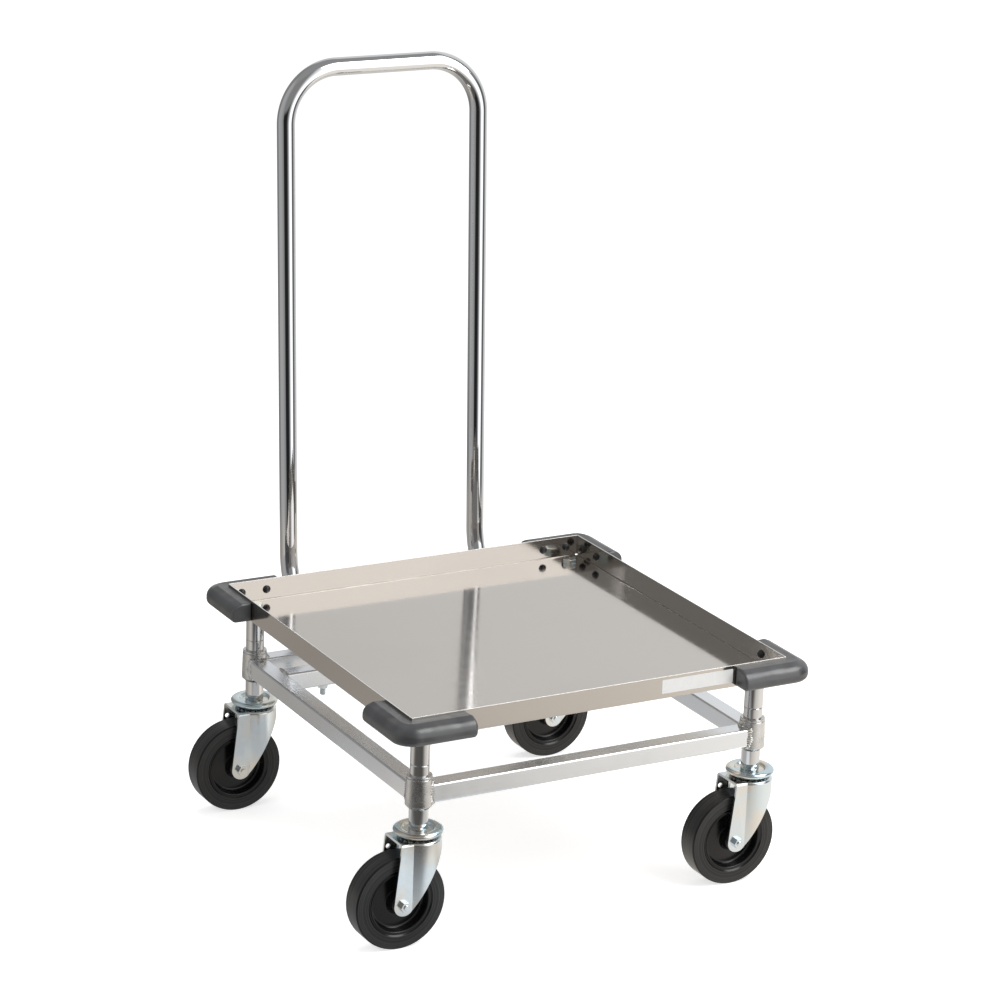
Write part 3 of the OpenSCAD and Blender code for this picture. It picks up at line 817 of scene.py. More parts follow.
def draw_tray():
    """One folded sheet: a floor, four rims turned up, a small notch at each corner."""
    flap = TRAY_HALF - TRAY_NOTCH
    sheet = sizes().sheet / MM
    bend = sizes().tray_bend / MM
    bm = bmesh.new()
    bm.faces.new([bm.verts.new((x * flap, y * flap, 0)) for x, y in ((-1, -1), (1, -1), (1, 1), (-1, 1))])
    for quarter in range(4):
        reach = TRAY_NOTCH - TRAY_GAP if quarter % 2 == 0 else TRAY_NOTCH - sheet - TRAY_GAP
        put(bm, draw_rim(flap, reach), quarter_turn(quarter))
    bmesh.ops.remove_doubles(bm, verts=bm.verts, dist=SAME_PLACE)
    bmesh.ops.recalc_face_normals(bm, faces=bm.faces)
    floor = max(bm.faces, key=lambda f: f.calc_area())
    if floor.normal.z > 0:
        bmesh.ops.reverse_faces(bm, faces=bm.faces)
    bmesh.ops.solidify(bm, geom=bm.faces, thickness=sheet)
    bmesh.ops.translate(bm, vec=(TRAY_MIDDLE.x, TRAY_MIDDLE.y, TRAY_LOW.z), verts=bm.verts)
    for face in bm.faces:
        height = face.calc_center_median().z
        level = face.normal.z > 0.9
        sloping = 0.05 < face.normal.z < 0.99
        # Level faces along the rims' tops take the cut edge's painted highlight.
        if level and height > TRAY_HIGH.z - 0.1:
            face.material_index = TRAY_FINISHES.index("cut_edge_highlight")
        # Sloping faces low in the bends take the painted shade of the inner crease.
        elif sloping and height < TRAY_LOW.z + bend + 0.1:
            face.material_index = TRAY_FINISHES.index("inner_bend")
    return bm


def draw_label():
    """Blank film on the front rim beside the right bumper."""
    bm = bmesh.new()
    verts = block(bm, (LABEL_X[0], TRAY_LOW.y - LABEL_PROUD, TRAY_LOW.z + LABEL_UP[0]),
                  (LABEL_X[1], TRAY_LOW.y + LABEL_SUNK, TRAY_LOW.z + LABEL_UP[1]))
    round_off(bm, edges_along(verts, 1), LABEL_CORNER, 4)
    return bm


class DOLLY_OT_add_tray(bpy.types.Operator):
    """Add the folded tray and its blank film"""
    bl_idname = "dolly.add_tray"
    bl_label = "Add Tray"

    def execute(self, context):
        finish_piece("tray_sheet", draw_tray(), TRAY_FINISHES, "frame", ["tray"],
                     edge_bevel=0.25)
        finish_piece("blank_label", draw_label(), ["label_film"], "frame")
        return {"FINISHED"}


TRAY_BOLT_ACROSS = 18.0
TRAY_BOLT_HEAD = 6.0
TRAY_BOLT_CHAMFER = 1.1
BOLT_ACROSS = 13.0
BOLT_RADIUS = 4.0
BOLT_HEAD = 5.3
BOLT_CHAMFER = 0.8
THREAD_PITCH = 1.25
THREAD_DEPTH = 0.6
THREAD_LEAD = 0.3
# How far a drawn thread or shank runs into a nut or a head
THREAD_OVERLAP = 0.5
SHANK_OVERLAP = 1.0


def hexagon(across, low, high, chamfer, chamfer_low=False):
    """A drawing of a hexagonal prism with its corners chamfered at one end."""
    bm = bmesh.new()
    radius = across / math.sqrt(3)
    bmesh.ops.create_cone(bm, cap_ends=True, segments=6, radius1=radius, radius2=radius, depth=high - low)
    moved(bm, bm.verts, shift((0, 0, (low + high) / 2)) @ Matrix.Rotation(math.pi / 6, 4, "Z"))
    level = low if chamfer_low else high
    corners = [v for v in bm.verts if abs(v.co.z - level) < SAME_PLACE]
    round_off(bm, corners, chamfer, 2, affect="VERTICES")
    return bm


def thread_profile(low, high):
    """Half section of a bolt's threaded end, from low up to high."""
    root = BOLT_RADIUS - THREAD_DEPTH
    points = [(0.0, low), (root, low)]
    along = low + THREAD_LEAD
    while along + THREAD_PITCH < high:
        points += [(root, along), (BOLT_RADIUS, along + THREAD_PITCH * 0.5)]
        along += THREAD_PITCH
    return points + [(root, along), (root, high)]


class DOLLY_OT_add_tray_bolts(bpy.types.Operator):
    """Add the hexagon bolts in the tray's corners"""
    bl_idname = "dolly.add_tray_bolts"
    bl_label = "Add Tray Bolts"

    def execute(self, context):
        bm = bmesh.new()
        floor = TRAY_LOW.z + sizes().sheet / MM
        for corner in CORNERS:
            head = hexagon(TRAY_BOLT_ACROSS, floor, floor + TRAY_BOLT_HEAD, TRAY_BOLT_CHAMFER)
            put(bm, drop(head, POST_AT[corner]))
        finish_piece("tray_bolt_heads", bm, ["cap_zinc"], "frame", ["tray_bolts"], edge_bevel=0.3)
        return {"FINISHED"}


# Bumpers

BUMPER_ARM = 80.0
# How far in the lip stands, and how much lower the outer side and the inner edge of the top are
BUMPER_LIP = 15.5
BUMPER_FALL = 6.5
BUMPER_DISH = 1.2
# Roundings of the outer side, the foot and the lip
BUMPER_SIDE = 14.0
BUMPER_FOOT = 8.0
BUMPER_LIP_EDGE = 4.0
# The mould's seam, a groove at a height above the foot
BUMPER_SEAM = 6.8
SEAM_HALF = 0.5
SEAM_DEPTH = 0.35
END_STEPS = 5
CORNER_STEPS = 16
PLUG_PLACES = (20.0, 58.0)


def round_end(bm, ring, ahead, edge, half):
    """Closes an open end with a rounded brim: the section draws in while it runs on."""
    ran = 0.0
    size = 1.0
    for step in range(1, END_STEPS + 1):
        turn = math.pi / 2 * step / END_STEPS
        run = edge * math.sin(turn)
        ring = run_straight(bm, ring, ahead * (run - ran))
        verts = verts_of(ring)
        middle = sum((v.co for v in verts), Vector()) / len(verts)
        drawn_in = 1 - edge * (1 - math.cos(turn)) / half
        factor = drawn_in / size
        bmesh.ops.scale(bm, vec=(factor, factor, factor), space=shift(-middle), verts=verts)
        ran = run
        size = drawn_in
    bmesh.ops.edgeloop_fill(bm, edges=ring)


def draw_bumper(corner):
    """An L of rubber: the same rounded section along both arms and round the corner."""
    low, high = node_box(corner + "_bumper")
    x_sign, y_sign = side_signs(corner)
    depth = high.x - low.x - BUMPER_ARM
    height = high.z - low.z
    bm = bmesh.new()
    section = rounded_profile(
        [(0, 0, 0), (depth, 0, BUMPER_FOOT), (depth, height - BUMPER_FALL, BUMPER_SIDE),
         (depth - BUMPER_LIP, height, BUMPER_LIP_EDGE), (0, height - BUMPER_DISH, 0)], steps=12)
    edge = sizes().bumper_edge / MM
    verts = [bm.verts.new((BUMPER_ARM - edge, -across, up)) for across, up in section]
    first = [bm.edges.new(pair) for pair in zip(verts, verts[1:] + verts[:1])]
    round_end(bm, first, Vector((1, 0, 0)), edge, height / 2)
    ring = run_straight(bm, first, (edge - BUMPER_ARM, 0, 0))
    ring = run_bend(bm, ring, (0, 0, 0), (0, 0, 1), -math.pi / 2, CORNER_STEPS)
    ring = run_straight(bm, ring, (0, BUMPER_ARM - edge, 0))
    round_end(bm, ring, Vector((0, 1, 0)), edge, height / 2)
    bmesh.ops.remove_doubles(bm, verts=bm.verts, dist=SAME_PLACE)
    bmesh.ops.dissolve_degenerate(bm, edges=bm.edges, dist=SAME_PLACE)
    for level in (BUMPER_SEAM - SEAM_HALF, BUMPER_SEAM, BUMPER_SEAM + SEAM_HALF):
        bmesh.ops.bisect_plane(bm, geom=bm.verts[:] + bm.edges[:] + bm.faces[:], dist=0.001,
                               plane_co=(0, 0, level), plane_no=(0, 0, 1))
    for vertex in bm.verts:
        if abs(vertex.co.z - BUMPER_SEAM) < 0.02 and (vertex.co.x < -1 or vertex.co.y < -1):
            outwards = Vector((min(vertex.co.x, 0), min(vertex.co.y, 0), 0)).normalized()
            vertex.co -= outwards * SEAM_DEPTH
    bmesh.ops.scale(bm, vec=(-x_sign, -y_sign, 1), verts=bm.verts)
    outer = Vector((high.x if x_sign > 0 else low.x, high.y if y_sign > 0 else low.y, low.z))
    bmesh.ops.translate(bm, vec=outer - Vector((x_sign * depth, y_sign * depth, 0)), verts=bm.verts)
    return bm


def plug_head_profile():
    """Half section of a domed head with a thin flange, standing on the rim's inner face."""
    return rounded_profile([(5.7, 0, 0), (5.7, 1.1, 0.4), (4.9, 1.5, 0.3), (3.4, 4.2, 1.6), (0, 4.8, 0)])


class DOLLY_OT_add_bumpers(bpy.types.Operator):
    """Add the four corner bumpers and the plugs that hold them"""
    bl_idname = "dolly.add_bumpers"
    bl_label = "Add Bumpers"

    def execute(self, context):
        for corner in CORNERS:
            finish_piece(corner + "_bumper_rubber", draw_bumper(corner), ["bumper_rubber"], "frame",
                         [corner + "_bumper"], sharp=40)
        bm = bmesh.new()
        sheet = sizes().sheet / MM
        middle = shift((TRAY_MIDDLE.x, TRAY_MIDDLE.y, node_middle("bumper_plugs").z))
        places = [*PLUG_PLACES, *(2 * TRAY_HALF - place for place in reversed(PLUG_PLACES))]
        for quarter in range(4):
            for place in places:
                spot = shift((place - TRAY_HALF, -TRAY_HALF + sheet, 0)) @ FACE_BACK
                put(bm, turned(plug_head_profile(), steps=SMALL_TURN_STEPS),
                    middle @ quarter_turn(quarter) @ spot)
        finish_piece("plug_heads", bm, ["plug_plastic"], "frame", ["bumper_plugs"], sharp=50)
        return {"FINISHED"}


# Posts and collars

# Names that end in Z are heights above the ground. Foot, belly, shoulder, neck and top are radii.
CAP_FLOOR_Z = 155.8
POST_WALL = 2.0
GROOVE_Z = 245.6
GROOVE_HALF = 0.9
GROOVE_DEPTH = 0.7
COLLAR_LOW, COLLAR_HIGH = node_box("front_left_collar")
COLLAR_BORE = TUBE_RADIUS + 0.02
COLLAR_FOOT = 13.6
COLLAR_BELLY = 18.1
COLLAR_BELLY_Z = COLLAR_LOW.z + 4.5
COLLAR_SHOULDER = 17.0
COLLAR_SHOULDER_Z = COLLAR_HIGH.z - 4.0
COLLAR_NECK = 15.6
COLLAR_TOP = 16.6


class DOLLY_OT_add_posts(bpy.types.Operator):
    """Add the four chromed posts with their ring groove"""
    bl_idname = "dolly.add_posts"
    bl_label = "Add Posts"

    def execute(self, context):
        inner = TUBE_RADIUS - POST_WALL
        for corner in CORNERS:
            low, high = node_box(corner + "_post")
            profile = rounded_profile([
                (inner, low.z, 0), (inner, CAP_FLOOR_Z, 0), (TUBE_RADIUS, CAP_FLOOR_Z, 0),
                (TUBE_RADIUS, GROOVE_Z - GROOVE_HALF, 0.3), (TUBE_RADIUS - GROOVE_DEPTH, GROOVE_Z, 0.4),
                (TUBE_RADIUS, GROOVE_Z + GROOVE_HALF, 0.3), (TUBE_RADIUS, high.z, 0.5),
                (inner, high.z, 0)], steps=3)
            finish_piece(corner + "_post_tube", drop(turned(profile, closed=True), POST_AT[corner]),
                         ["chrome_plate"], "frame", [corner + "_post"])
        return {"FINISHED"}


class DOLLY_OT_add_collars(bpy.types.Operator):
    """Add the four tapered cast collars"""
    bl_idname = "dolly.add_collars"
    bl_label = "Add Collars"

    def execute(self, context):
        low, high = COLLAR_LOW.z, COLLAR_HIGH.z
        profile = rounded_profile([
            (COLLAR_BORE, low, 0), (COLLAR_FOOT, low, 0.4), (COLLAR_BELLY, COLLAR_BELLY_Z, 1.6),
            (COLLAR_SHOULDER, COLLAR_SHOULDER_Z, 1.0), (COLLAR_NECK, high - 3.4, 0.4),
            (COLLAR_TOP, high - 3.0, 0.5), (COLLAR_TOP, high, 1.0), (COLLAR_BORE, high, 0)], steps=5)
        for corner in CORNERS:
            finish_piece(corner + "_collar_casting", drop(turned(profile, closed=True), POST_AT[corner]),
                         ["cast_collar"], "frame", [corner + "_collar"])
        return {"FINISHED"}


# Frame of square tube

RAIL_CORNER = 2.5
RAIL_FINISHES = ("zinc_along_x", "zinc_along_y")


def draw_square_tube(start, end, along):
    """A length of square tube with rounded corners, along X (0) or Y (1)."""
    across = 1 - along
    low = Vector((0, 0, RAIL_TOP - TUBE))
    high = Vector((0, 0, RAIL_TOP))
    low[along], high[along] = start[along], end[along]
    low[across], high[across] = start[across] - TUBE_RADIUS, start[across] + TUBE_RADIUS
    bm = bmesh.new()
    verts = block(bm, low, high)
    round_off(bm, edges_along(verts, along), RAIL_CORNER, 5)
    return bm


RAILS = {
    "front_rail": ("front_left", "front_right", 0),
    "rear_rail": ("rear_left", "rear_right", 0),
    "left_rail": ("front_left", "rear_left", 1),
    "right_rail": ("front_right", "rear_right", 1),
}
# Where a rail's drawn end stands from its post's middle, hidden in the collar
RAIL_END = 14.0


class DOLLY_OT_add_rails(bpy.types.Operator):
    """Add the four rails and the cross member of square tube"""
    bl_idname = "dolly.add_rails"
    bl_label = "Add Rails"

    def execute(self, context):
        for rail, (first, last, along) in RAILS.items():
            inset = Vector((0, 0, 0))
            inset[along] = RAIL_END
            bm = draw_square_tube(POST_AT[first] + inset, POST_AT[last] - inset, along)
            finish_piece(rail + "_tube", bm, [RAIL_FINISHES[along]], "frame", [rail])
        low, high = node_box("handle_cross_member")
        bm = draw_square_tube(Vector((low.x, MEMBER_Y, 0)), Vector((high.x, MEMBER_Y, 0)), 0)
        finish_piece("cross_member_tube", bm, ["zinc_along_x"], "frame", ["handle_cross_member"])
        return {"FINISHED"}


# Shares are of a weld bead's radius, and the other measures are in millimetres or in counts a turn
WELD_STEPS = 160
WELD_ROUND = 8
COLLAR_RIPPLES = 31
MEMBER_RIPPLES = 37
MEMBER_BEAD = 0.8
RIPPLE_SHARE = 0.22
SLOW_RIPPLES = 7
SLOW_RIPPLE_SHARE = 0.18
SQUARENESS = 9
OFF_TUBE = 0.2
OFF_COLLAR = 0.4


def collar_radius(height):
    """Outer radius of a collar's tapered part at a height."""
    share = (height - COLLAR_BELLY_Z) / (COLLAR_SHOULDER_Z - COLLAR_BELLY_Z)
    return COLLAR_BELLY + (COLLAR_SHOULDER - COLLAR_BELLY) * min(1, max(0, share))


def draw_weld(ripples, bead, wrapped):
    """A rippled bead round a square tube's end, wrapped on a collar or flat against a rail."""
    bm = bmesh.new()
    bmesh.ops.create_circle(bm, cap_ends=False, segments=WELD_ROUND, radius=bead)
    moved(bm, bm.verts, shift((0, 0, TUBE)) @ FACE_FRONT)
    bmesh.ops.spin(bm, geom=bm.verts[:] + bm.edges[:], cent=(0, 0, 0), axis=(1, 0, 0), angle=2 * math.pi,
                   steps=WELD_STEPS, use_merge=True)
    for vertex in bm.verts:
        turn = math.atan2(vertex.co.z, vertex.co.y)
        out = math.hypot(vertex.co.y, vertex.co.z) - TUBE
        wobble = (1 + RIPPLE_SHARE * math.sin(turn * ripples)
                  + SLOW_RIPPLE_SHARE * math.sin(turn * SLOW_RIPPLES + ripples))
        corners = abs(math.cos(turn)) ** SQUARENESS + abs(math.sin(turn)) ** SQUARENESS
        square = corners ** (-1 / SQUARENESS)
        radius = TUBE_RADIUS * square + OFF_TUBE + out * wobble
        y = radius * math.cos(turn)
        z = radius * math.sin(turn)
        across = vertex.co.x * wobble
        if wrapped:
            collar = collar_radius(RAIL_MIDDLE_Z + z)
            across += math.sqrt(max(collar * collar - y * y, 1.0)) + OFF_COLLAR
        vertex.co = (across, y, z)
    return bm


class DOLLY_OT_add_welds(bpy.types.Operator):
    """Add the weld beads where the rails meet the collars and the cross member meets the side rails"""
    bl_idname = "dolly.add_welds"
    bl_label = "Add Welds"

    def execute(self, context):
        bm = bmesh.new()
        bead = sizes().weld_bead / MM
        for number, corner in enumerate(CORNERS):
            x_sign, y_sign = side_signs(corner)
            centre = Vector((POST_AT[corner].x, POST_AT[corner].y, RAIL_MIDDLE_Z))
            for step, quarters in enumerate((0 if x_sign < 0 else 2, 1 if y_sign < 0 else -1)):
                put(bm, draw_weld(COLLAR_RIPPLES + 3 * number + 5 * step, bead, True),
                    shift(centre) @ quarter_turn(quarters))
        low, high = node_box("handle_cross_member")
        for place, quarters in ((low.x, 0), (high.x, 2)):
            put(bm, draw_weld(MEMBER_RIPPLES, bead * MEMBER_BEAD, False),
                shift((place, MEMBER_Y, RAIL_MIDDLE_Z)) @ quarter_turn(quarters))
        finish_piece("weld_beads", bm, ["weld_metal"], "frame", sharp=60)
        return {"FINISHED"}


# Handle

# The margins keep the drawn tube inside its node's box
HANDLE_LEAN = math.radians(2.8)
TOP_BEND = 76.0
LOW_BEND = 102.0
HANDLE_WALL = 1.5
OPEN_DEPTH = 60.0
SIDE_MARGIN = 0.05
TOP_MARGIN = 0.03
TUBE_STEPS = 64
LOW_BEND_STEPS = 36
TOP_BEND_STEPS = 32


def draw_handle():
    """Half of the bent tube from a foot to the middle of the grip, then its mirror image."""
    low, high = node_box("handle")
    middle = (low.x + high.x) / 2
    leg = (high.x - low.x) / 2 - TUBE_RADIUS - SIDE_MARGIN
    foot_z = RAIL_TOP + TUBE_RADIUS
    foot = Vector((leg, low.y, foot_z))
    lean = HANDLE_LEAN
    leg_length = (high.z - TOP_MARGIN - TUBE_RADIUS - foot_z) / math.cos(lean)
    foot_y = high.y - TOP_MARGIN - TUBE_RADIUS - leg_length * math.sin(lean)
    low_turn = math.pi / 2 - lean
    tangent = LOW_BEND * math.tan(low_turn / 2)
    bend_y = foot_y - tangent
    bm = bmesh.new()
    verts = bmesh.ops.create_circle(bm, cap_ends=False, segments=TUBE_STEPS, radius=TUBE_RADIUS)["verts"]
    moved(bm, verts, shift(foot) @ FACE_FRONT)
    inner = run_straight(bm, list(bm.edges), (0, 0, 0))
    bore = (TUBE_RADIUS - HANDLE_WALL) / TUBE_RADIUS
    bmesh.ops.scale(bm, vec=(bore, 1, bore), verts=verts_of(inner), space=shift((-leg, 0, -foot_z)))
    run_straight(bm, inner, (0, OPEN_DEPTH, 0))
    outer = [e for e in bm.edges if len(e.link_faces) == 1
             and all(abs((v.co - foot).length - TUBE_RADIUS) < SAME_PLACE for v in e.verts)]
    ring = run_straight(bm, outer, (0, bend_y - low.y, 0))
    ring = run_bend(bm, ring, (leg, bend_y, foot_z + LOW_BEND), (1, 0, 0), low_turn, LOW_BEND_STEPS)
    up = Vector((0, math.sin(lean), math.cos(lean)))
    ring = run_straight(bm, ring, up * (leg_length - TOP_BEND - tangent))
    top = Vector((leg - TOP_BEND, foot_y, foot_z)) + up * (leg_length - TOP_BEND)
    across = Vector((0, math.cos(lean), -math.sin(lean)))
    ring = run_bend(bm, ring, top, across, -math.pi / 2, TOP_BEND_STEPS)
    run_straight(bm, ring, (-(leg - TOP_BEND), 0, 0))
    bmesh.ops.mirror(bm, geom=bm.verts[:] + bm.edges[:] + bm.faces[:], axis="X", merge_dist=SAME_PLACE)
    bmesh.ops.translate(bm, vec=(middle, 0, 0), verts=bm.verts)
    return bm


class DOLLY_OT_add_handle(bpy.types.Operator):
    """Add the bent tube push handle"""
    bl_idname = "dolly.add_handle"
    bl_label = "Add Handle"

    def execute(self, context):
        finish_piece("push_handle", draw_handle(), ["chrome_plate"], "frame", ["handle"])
        return {"FINISHED"}


# Clamps and their bolts

CLAMPS = ("left_front", "right_front", "left_rear", "right_rear")
CLAMP_BOLT_OUT = 27.5
FLAT_WITHIN = math.radians(0.6)


def copied(node):
    """A drawing in metres that starts as a copy of a node, its seams merged and its flats made whole."""
    bm = bmesh.new()
    bm.from_mesh(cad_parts[node].data)
    bmesh.ops.remove_doubles(bm, verts=bm.verts, dist=MERGE_WITHIN * MM)
    bmesh.ops.dissolve_limit(bm, angle_limit=FLAT_WITHIN, verts=bm.verts, edges=bm.edges)
    return bm


class DOLLY_OT_add_clamps(bpy.types.Operator):
    """Add the saddle clamps with their bolts and nuts"""
    bl_idname = "dolly.add_clamps"
    bl_label = "Add Clamps"

    def execute(self, context):
        bolts = bmesh.new()
        nuts = bmesh.new()
        nut_low, nut_high = node_box("clamp_nuts")
        bolt_low, bolt_high = node_box("clamp_bolts")
        thread = thread_profile(bolt_low.z, nut_low.z + THREAD_OVERLAP)
        for place in CLAMPS:
            node = "handle_clamp_" + place
            middle = node_middle(node)
            finish_piece(node + "_strap", copied(node), ["blue_zinc"], "frame", [node],
                         metres=True, edge_bevel=0.4)
            for side in (-1, 1):
                spot = shift((middle.x + side * CLAMP_BOLT_OUT, middle.y, 0))
                put(bolts, hexagon(BOLT_ACROSS, bolt_high.z - BOLT_HEAD, bolt_high.z, BOLT_CHAMFER), spot)
                put(bolts, turned(thread, steps=SMALL_TURN_STEPS), spot)
                put(nuts, hexagon(BOLT_ACROSS, nut_low.z, nut_high.z, BOLT_CHAMFER, chamfer_low=True), spot)
        for name, bm, node in (("clamp_bolt_set", bolts, "clamp_bolts"),
                               ("clamp_nut_set", nuts, "clamp_nuts")):
            finish_piece(name, bm, ["blue_zinc"], "frame", [node], edge_bevel=0.25)
        return {"FINISHED"}


# Casters

# A cap's bead and crown are arcs, given by their radius or their width
CAP_BEAD = 3.9
CAP_CROWN = 6.3
CAP_UNDER = 1.4
CAP_DISH = 5.6
CAP_DISH_FALL = 1.6
CAP_BORE = 6.1


def angles(start, stop, step):
    """Angles in radians from a range in degrees."""
    return [math.radians(degrees) for degrees in range(start, stop, step)]


def cap_profile(low, high, rim):
    """Closed half section of a cap: a broad bead round a crown that dips to a flat floor and a hub."""
    belly = low + CAP_BEAD
    under = belly - CAP_UNDER
    bead = [(rim - CAP_BEAD + CAP_BEAD * math.cos(a), belly + CAP_BEAD * math.sin(a), 0)
            for a in angles(-156, 0, 12)]
    crown = [(rim - CAP_CROWN + CAP_CROWN * math.cos(a), belly + CAP_BEAD * math.sin(a), 0)
             for a in angles(0, 91, 9)]
    dish = [(rim - CAP_CROWN - CAP_DISH * math.sin(a),
             belly + CAP_BEAD - CAP_DISH_FALL * (1 - math.cos(a)), 0)
            for a in angles(15, 91, 15)]
    middle = [(18.9, CAP_FLOOR_Z, 1.0), (10.4, CAP_FLOOR_Z, 0.3), (10.0, high, 0.3), (CAP_BORE, high, 0)]
    return rounded_profile([(CAP_BORE, under, 0)] + bead + crown + dish + middle, steps=5)


class DOLLY_OT_add_caps(bpy.types.Operator):
    """Add the pressed bearing caps"""
    bl_idname = "dolly.add_caps"
    bl_label = "Add Caps"

    def execute(self, context):
        for corner in CORNERS:
            low, high = node_box(corner + "_cap")
            cap = turned(cap_profile(low.z, high.z, (high.x - low.x) / 2), closed=True)
            finish_piece(corner + "_bearing_cap", drop(cap, POST_AT[corner]), ["cap_zinc"], "frame",
                         [corner + "_cap"])
        return {"FINISHED"}


class DOLLY_OT_add_forks(bpy.types.Operator):
    """Add the pressed caster forks with softened edges"""
    bl_idname = "dolly.add_forks"
    bl_label = "Add Forks"

    def execute(self, context):
        for corner in CORNERS:
            finish_piece(corner + "_pressed_fork", copied(corner + "_fork"), ["blue_zinc"],
                         corner + "_swivel", [corner + "_fork"], metres=True,
                         edge_bevel=sizes().fork_edge / MM, recalculate=False)
        return {"FINISHED"}


WHEEL_LOW, WHEEL_HIGH = node_box("front_left_wheel")
WHEEL_RADIUS = (WHEEL_HIGH.z - WHEEL_LOW.z) / 2
WHEEL_HALF = 16.0
WHEEL_HUB = 21.6
WHEEL_BORE = 6.08
WHEEL_WEB = 4.0
WHEEL_STEPS = 128


def wheel_profile():
    """Closed half section of a wheel. Each point is its radius, its distance along the axle, its rounding."""
    ledge = WHEEL_HALF - 0.9
    groove = WHEEL_HALF - 2.0
    side = [
        (WHEEL_BORE, WHEEL_HUB, 0), (8.5, WHEEL_HUB, 0.5), (14.0, WHEEL_HUB - 2.6, 1.2), (17.0, 6.5, 1.6),
        (37.2, WHEEL_WEB, 3.0), (39.9, ledge, 1.7), (42.0, ledge, 0.5), (42.4, groove, 0.3),
        (44.0, groove, 0.4), (46.0, WHEEL_HALF, 0.6), (WHEEL_RADIUS, WHEEL_HALF, 2.2),
    ]
    other = [(across, -along, rounding) for across, along, rounding in reversed(side)]
    return rounded_profile(side + other, steps=5)


class DOLLY_OT_add_wheels(bpy.types.Operator):
    """Add the hard rubber wheels"""
    bl_idname = "dolly.add_wheels"
    bl_label = "Add Wheels"

    def execute(self, context):
        for corner in CORNERS:
            bm = turned(wheel_profile(), closed=True, steps=WHEEL_STEPS)
            moved(bm, bm.verts, shift(AXLE_AT[corner]) @ FACE_FRONT)
            finish_piece(corner + "_rubber_wheel", bm, ["wheel_rubber"], corner + "_roller",
                         [corner + "_wheel"], middle=AXLE_AT[corner])
        return {"FINISHED"}


class DOLLY_OT_add_axles(bpy.types.Operator):
    """Add the axle bolts and nuts"""
    bl_idname = "dolly.add_axles"
    bl_label = "Add Axles"

    def execute(self, context):
        for corner in CORNERS:
            body = corner + "_swivel"
            axle = AXLE_AT[corner]
            low, high = node_box(corner + "_axle_bolt")
            nut_low, nut_high = node_box(corner + "_axle_nut")
            front = axle.y - low.y
            back = high.y - axle.y
            nut_from = axle.y - nut_high.y
            nut_to = axle.y - nut_low.y
            bolt = hexagon(BOLT_ACROSS, -back, -back + BOLT_HEAD, BOLT_CHAMFER, chamfer_low=True)
            start = -back + SHANK_OVERLAP
            stop = nut_to - SHANK_OVERLAP
            shank = [(0, start), (BOLT_RADIUS, start), (BOLT_RADIUS, stop), (0, stop)]
            put(bolt, turned(shank, steps=SMALL_TURN_STEPS))
            end = [(across, nut_from + front - along) for across, along in thread_profile(nut_from, front)]
            put(bolt, turned(end, steps=SMALL_TURN_STEPS))
            nut = hexagon(BOLT_ACROSS, nut_from, nut_to, BOLT_CHAMFER)
            for bm in (bolt, nut):
                moved(bm, bm.verts, shift(axle) @ FACE_FRONT)
            finish_piece(corner + "_axle_bolt_steel", bolt, ["blue_zinc"], body, [corner + "_axle_bolt"])
            finish_piece(corner + "_axle_nut_steel", nut, ["blue_zinc"], body, [corner + "_axle_nut"],
                         edge_bevel=0.3)
        return {"FINISHED"}


class DOLLY_OT_dress_inner_parts(bpy.types.Operator):
    """Give the inner parts that stay from the frame their steel finish"""
    bl_idname = "dolly.dress_inner_parts"
    bl_label = "Dress Inner Parts"

    def execute(self, context):
        inner = ["post_plugs", "caster_stems"]
        for corner in CORNERS:
            inner += [corner + "_balls", corner + "_sleeve"]
        for node in inner:
            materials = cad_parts[node].data.materials
            materials.clear()
            materials.append(finish_named("plain_steel"))
        return {"FINISHED"}


# Stage

CAMERA_PLACE = (-2.11833, -3.868, 1.8818)
LENS = 123.35
SENSOR = 36.0
NEAREST = 0.1
FARTHEST = 100.0
# Each lamp's name, place, size, power, and whether polished metal mirrors it
LAMPS = (
    ("key_lamp", (1.5, -1.9, 1.9), 1.6, 16, False),
    ("shine_lamp", (1.15, -1.10, 2.05), 1.5, 30, True),
    ("fill_lamp", (-2.4, -1.0, 1.5), 1.6, 16, False),
    ("top_lamp", (0.0, 0.6, 2.9), 1.8, 22, False),
)
LAMP_AIM = Vector((0, 0, 0.35))
FLOOR_SIZE = 60.0
FLOOR_PAPER = (0.8, 0.8, 0.8)
FLOOR_GLOW = 0.62
ROOM_LEVEL = 0.52
WHITE_CARD = (0.93, 0.95, 0.955)
WHITE_CARD_AT = (-0.08, -0.50, 0.0)
WHITE_CARD_EDGE = (0.08, 0.22)
NEAR_FLOOR = (0.48, 0.90)
NEAR_LEVEL = 0.52
FAR_FLOOR = (1.25, 1.75)


def seen_directly_or_mirrored(tree):
    """1 for camera, glossy and transmission rays, and the node that tells the rays apart."""
    rays = add_node(tree, "LightPath")
    first = math_node(tree, "MAXIMUM", rays.outputs["Is Camera Ray"], rays.outputs["Is Glossy Ray"])
    return math_node(tree, "MAXIMUM", first, rays.outputs["Is Transmission Ray"]), rays


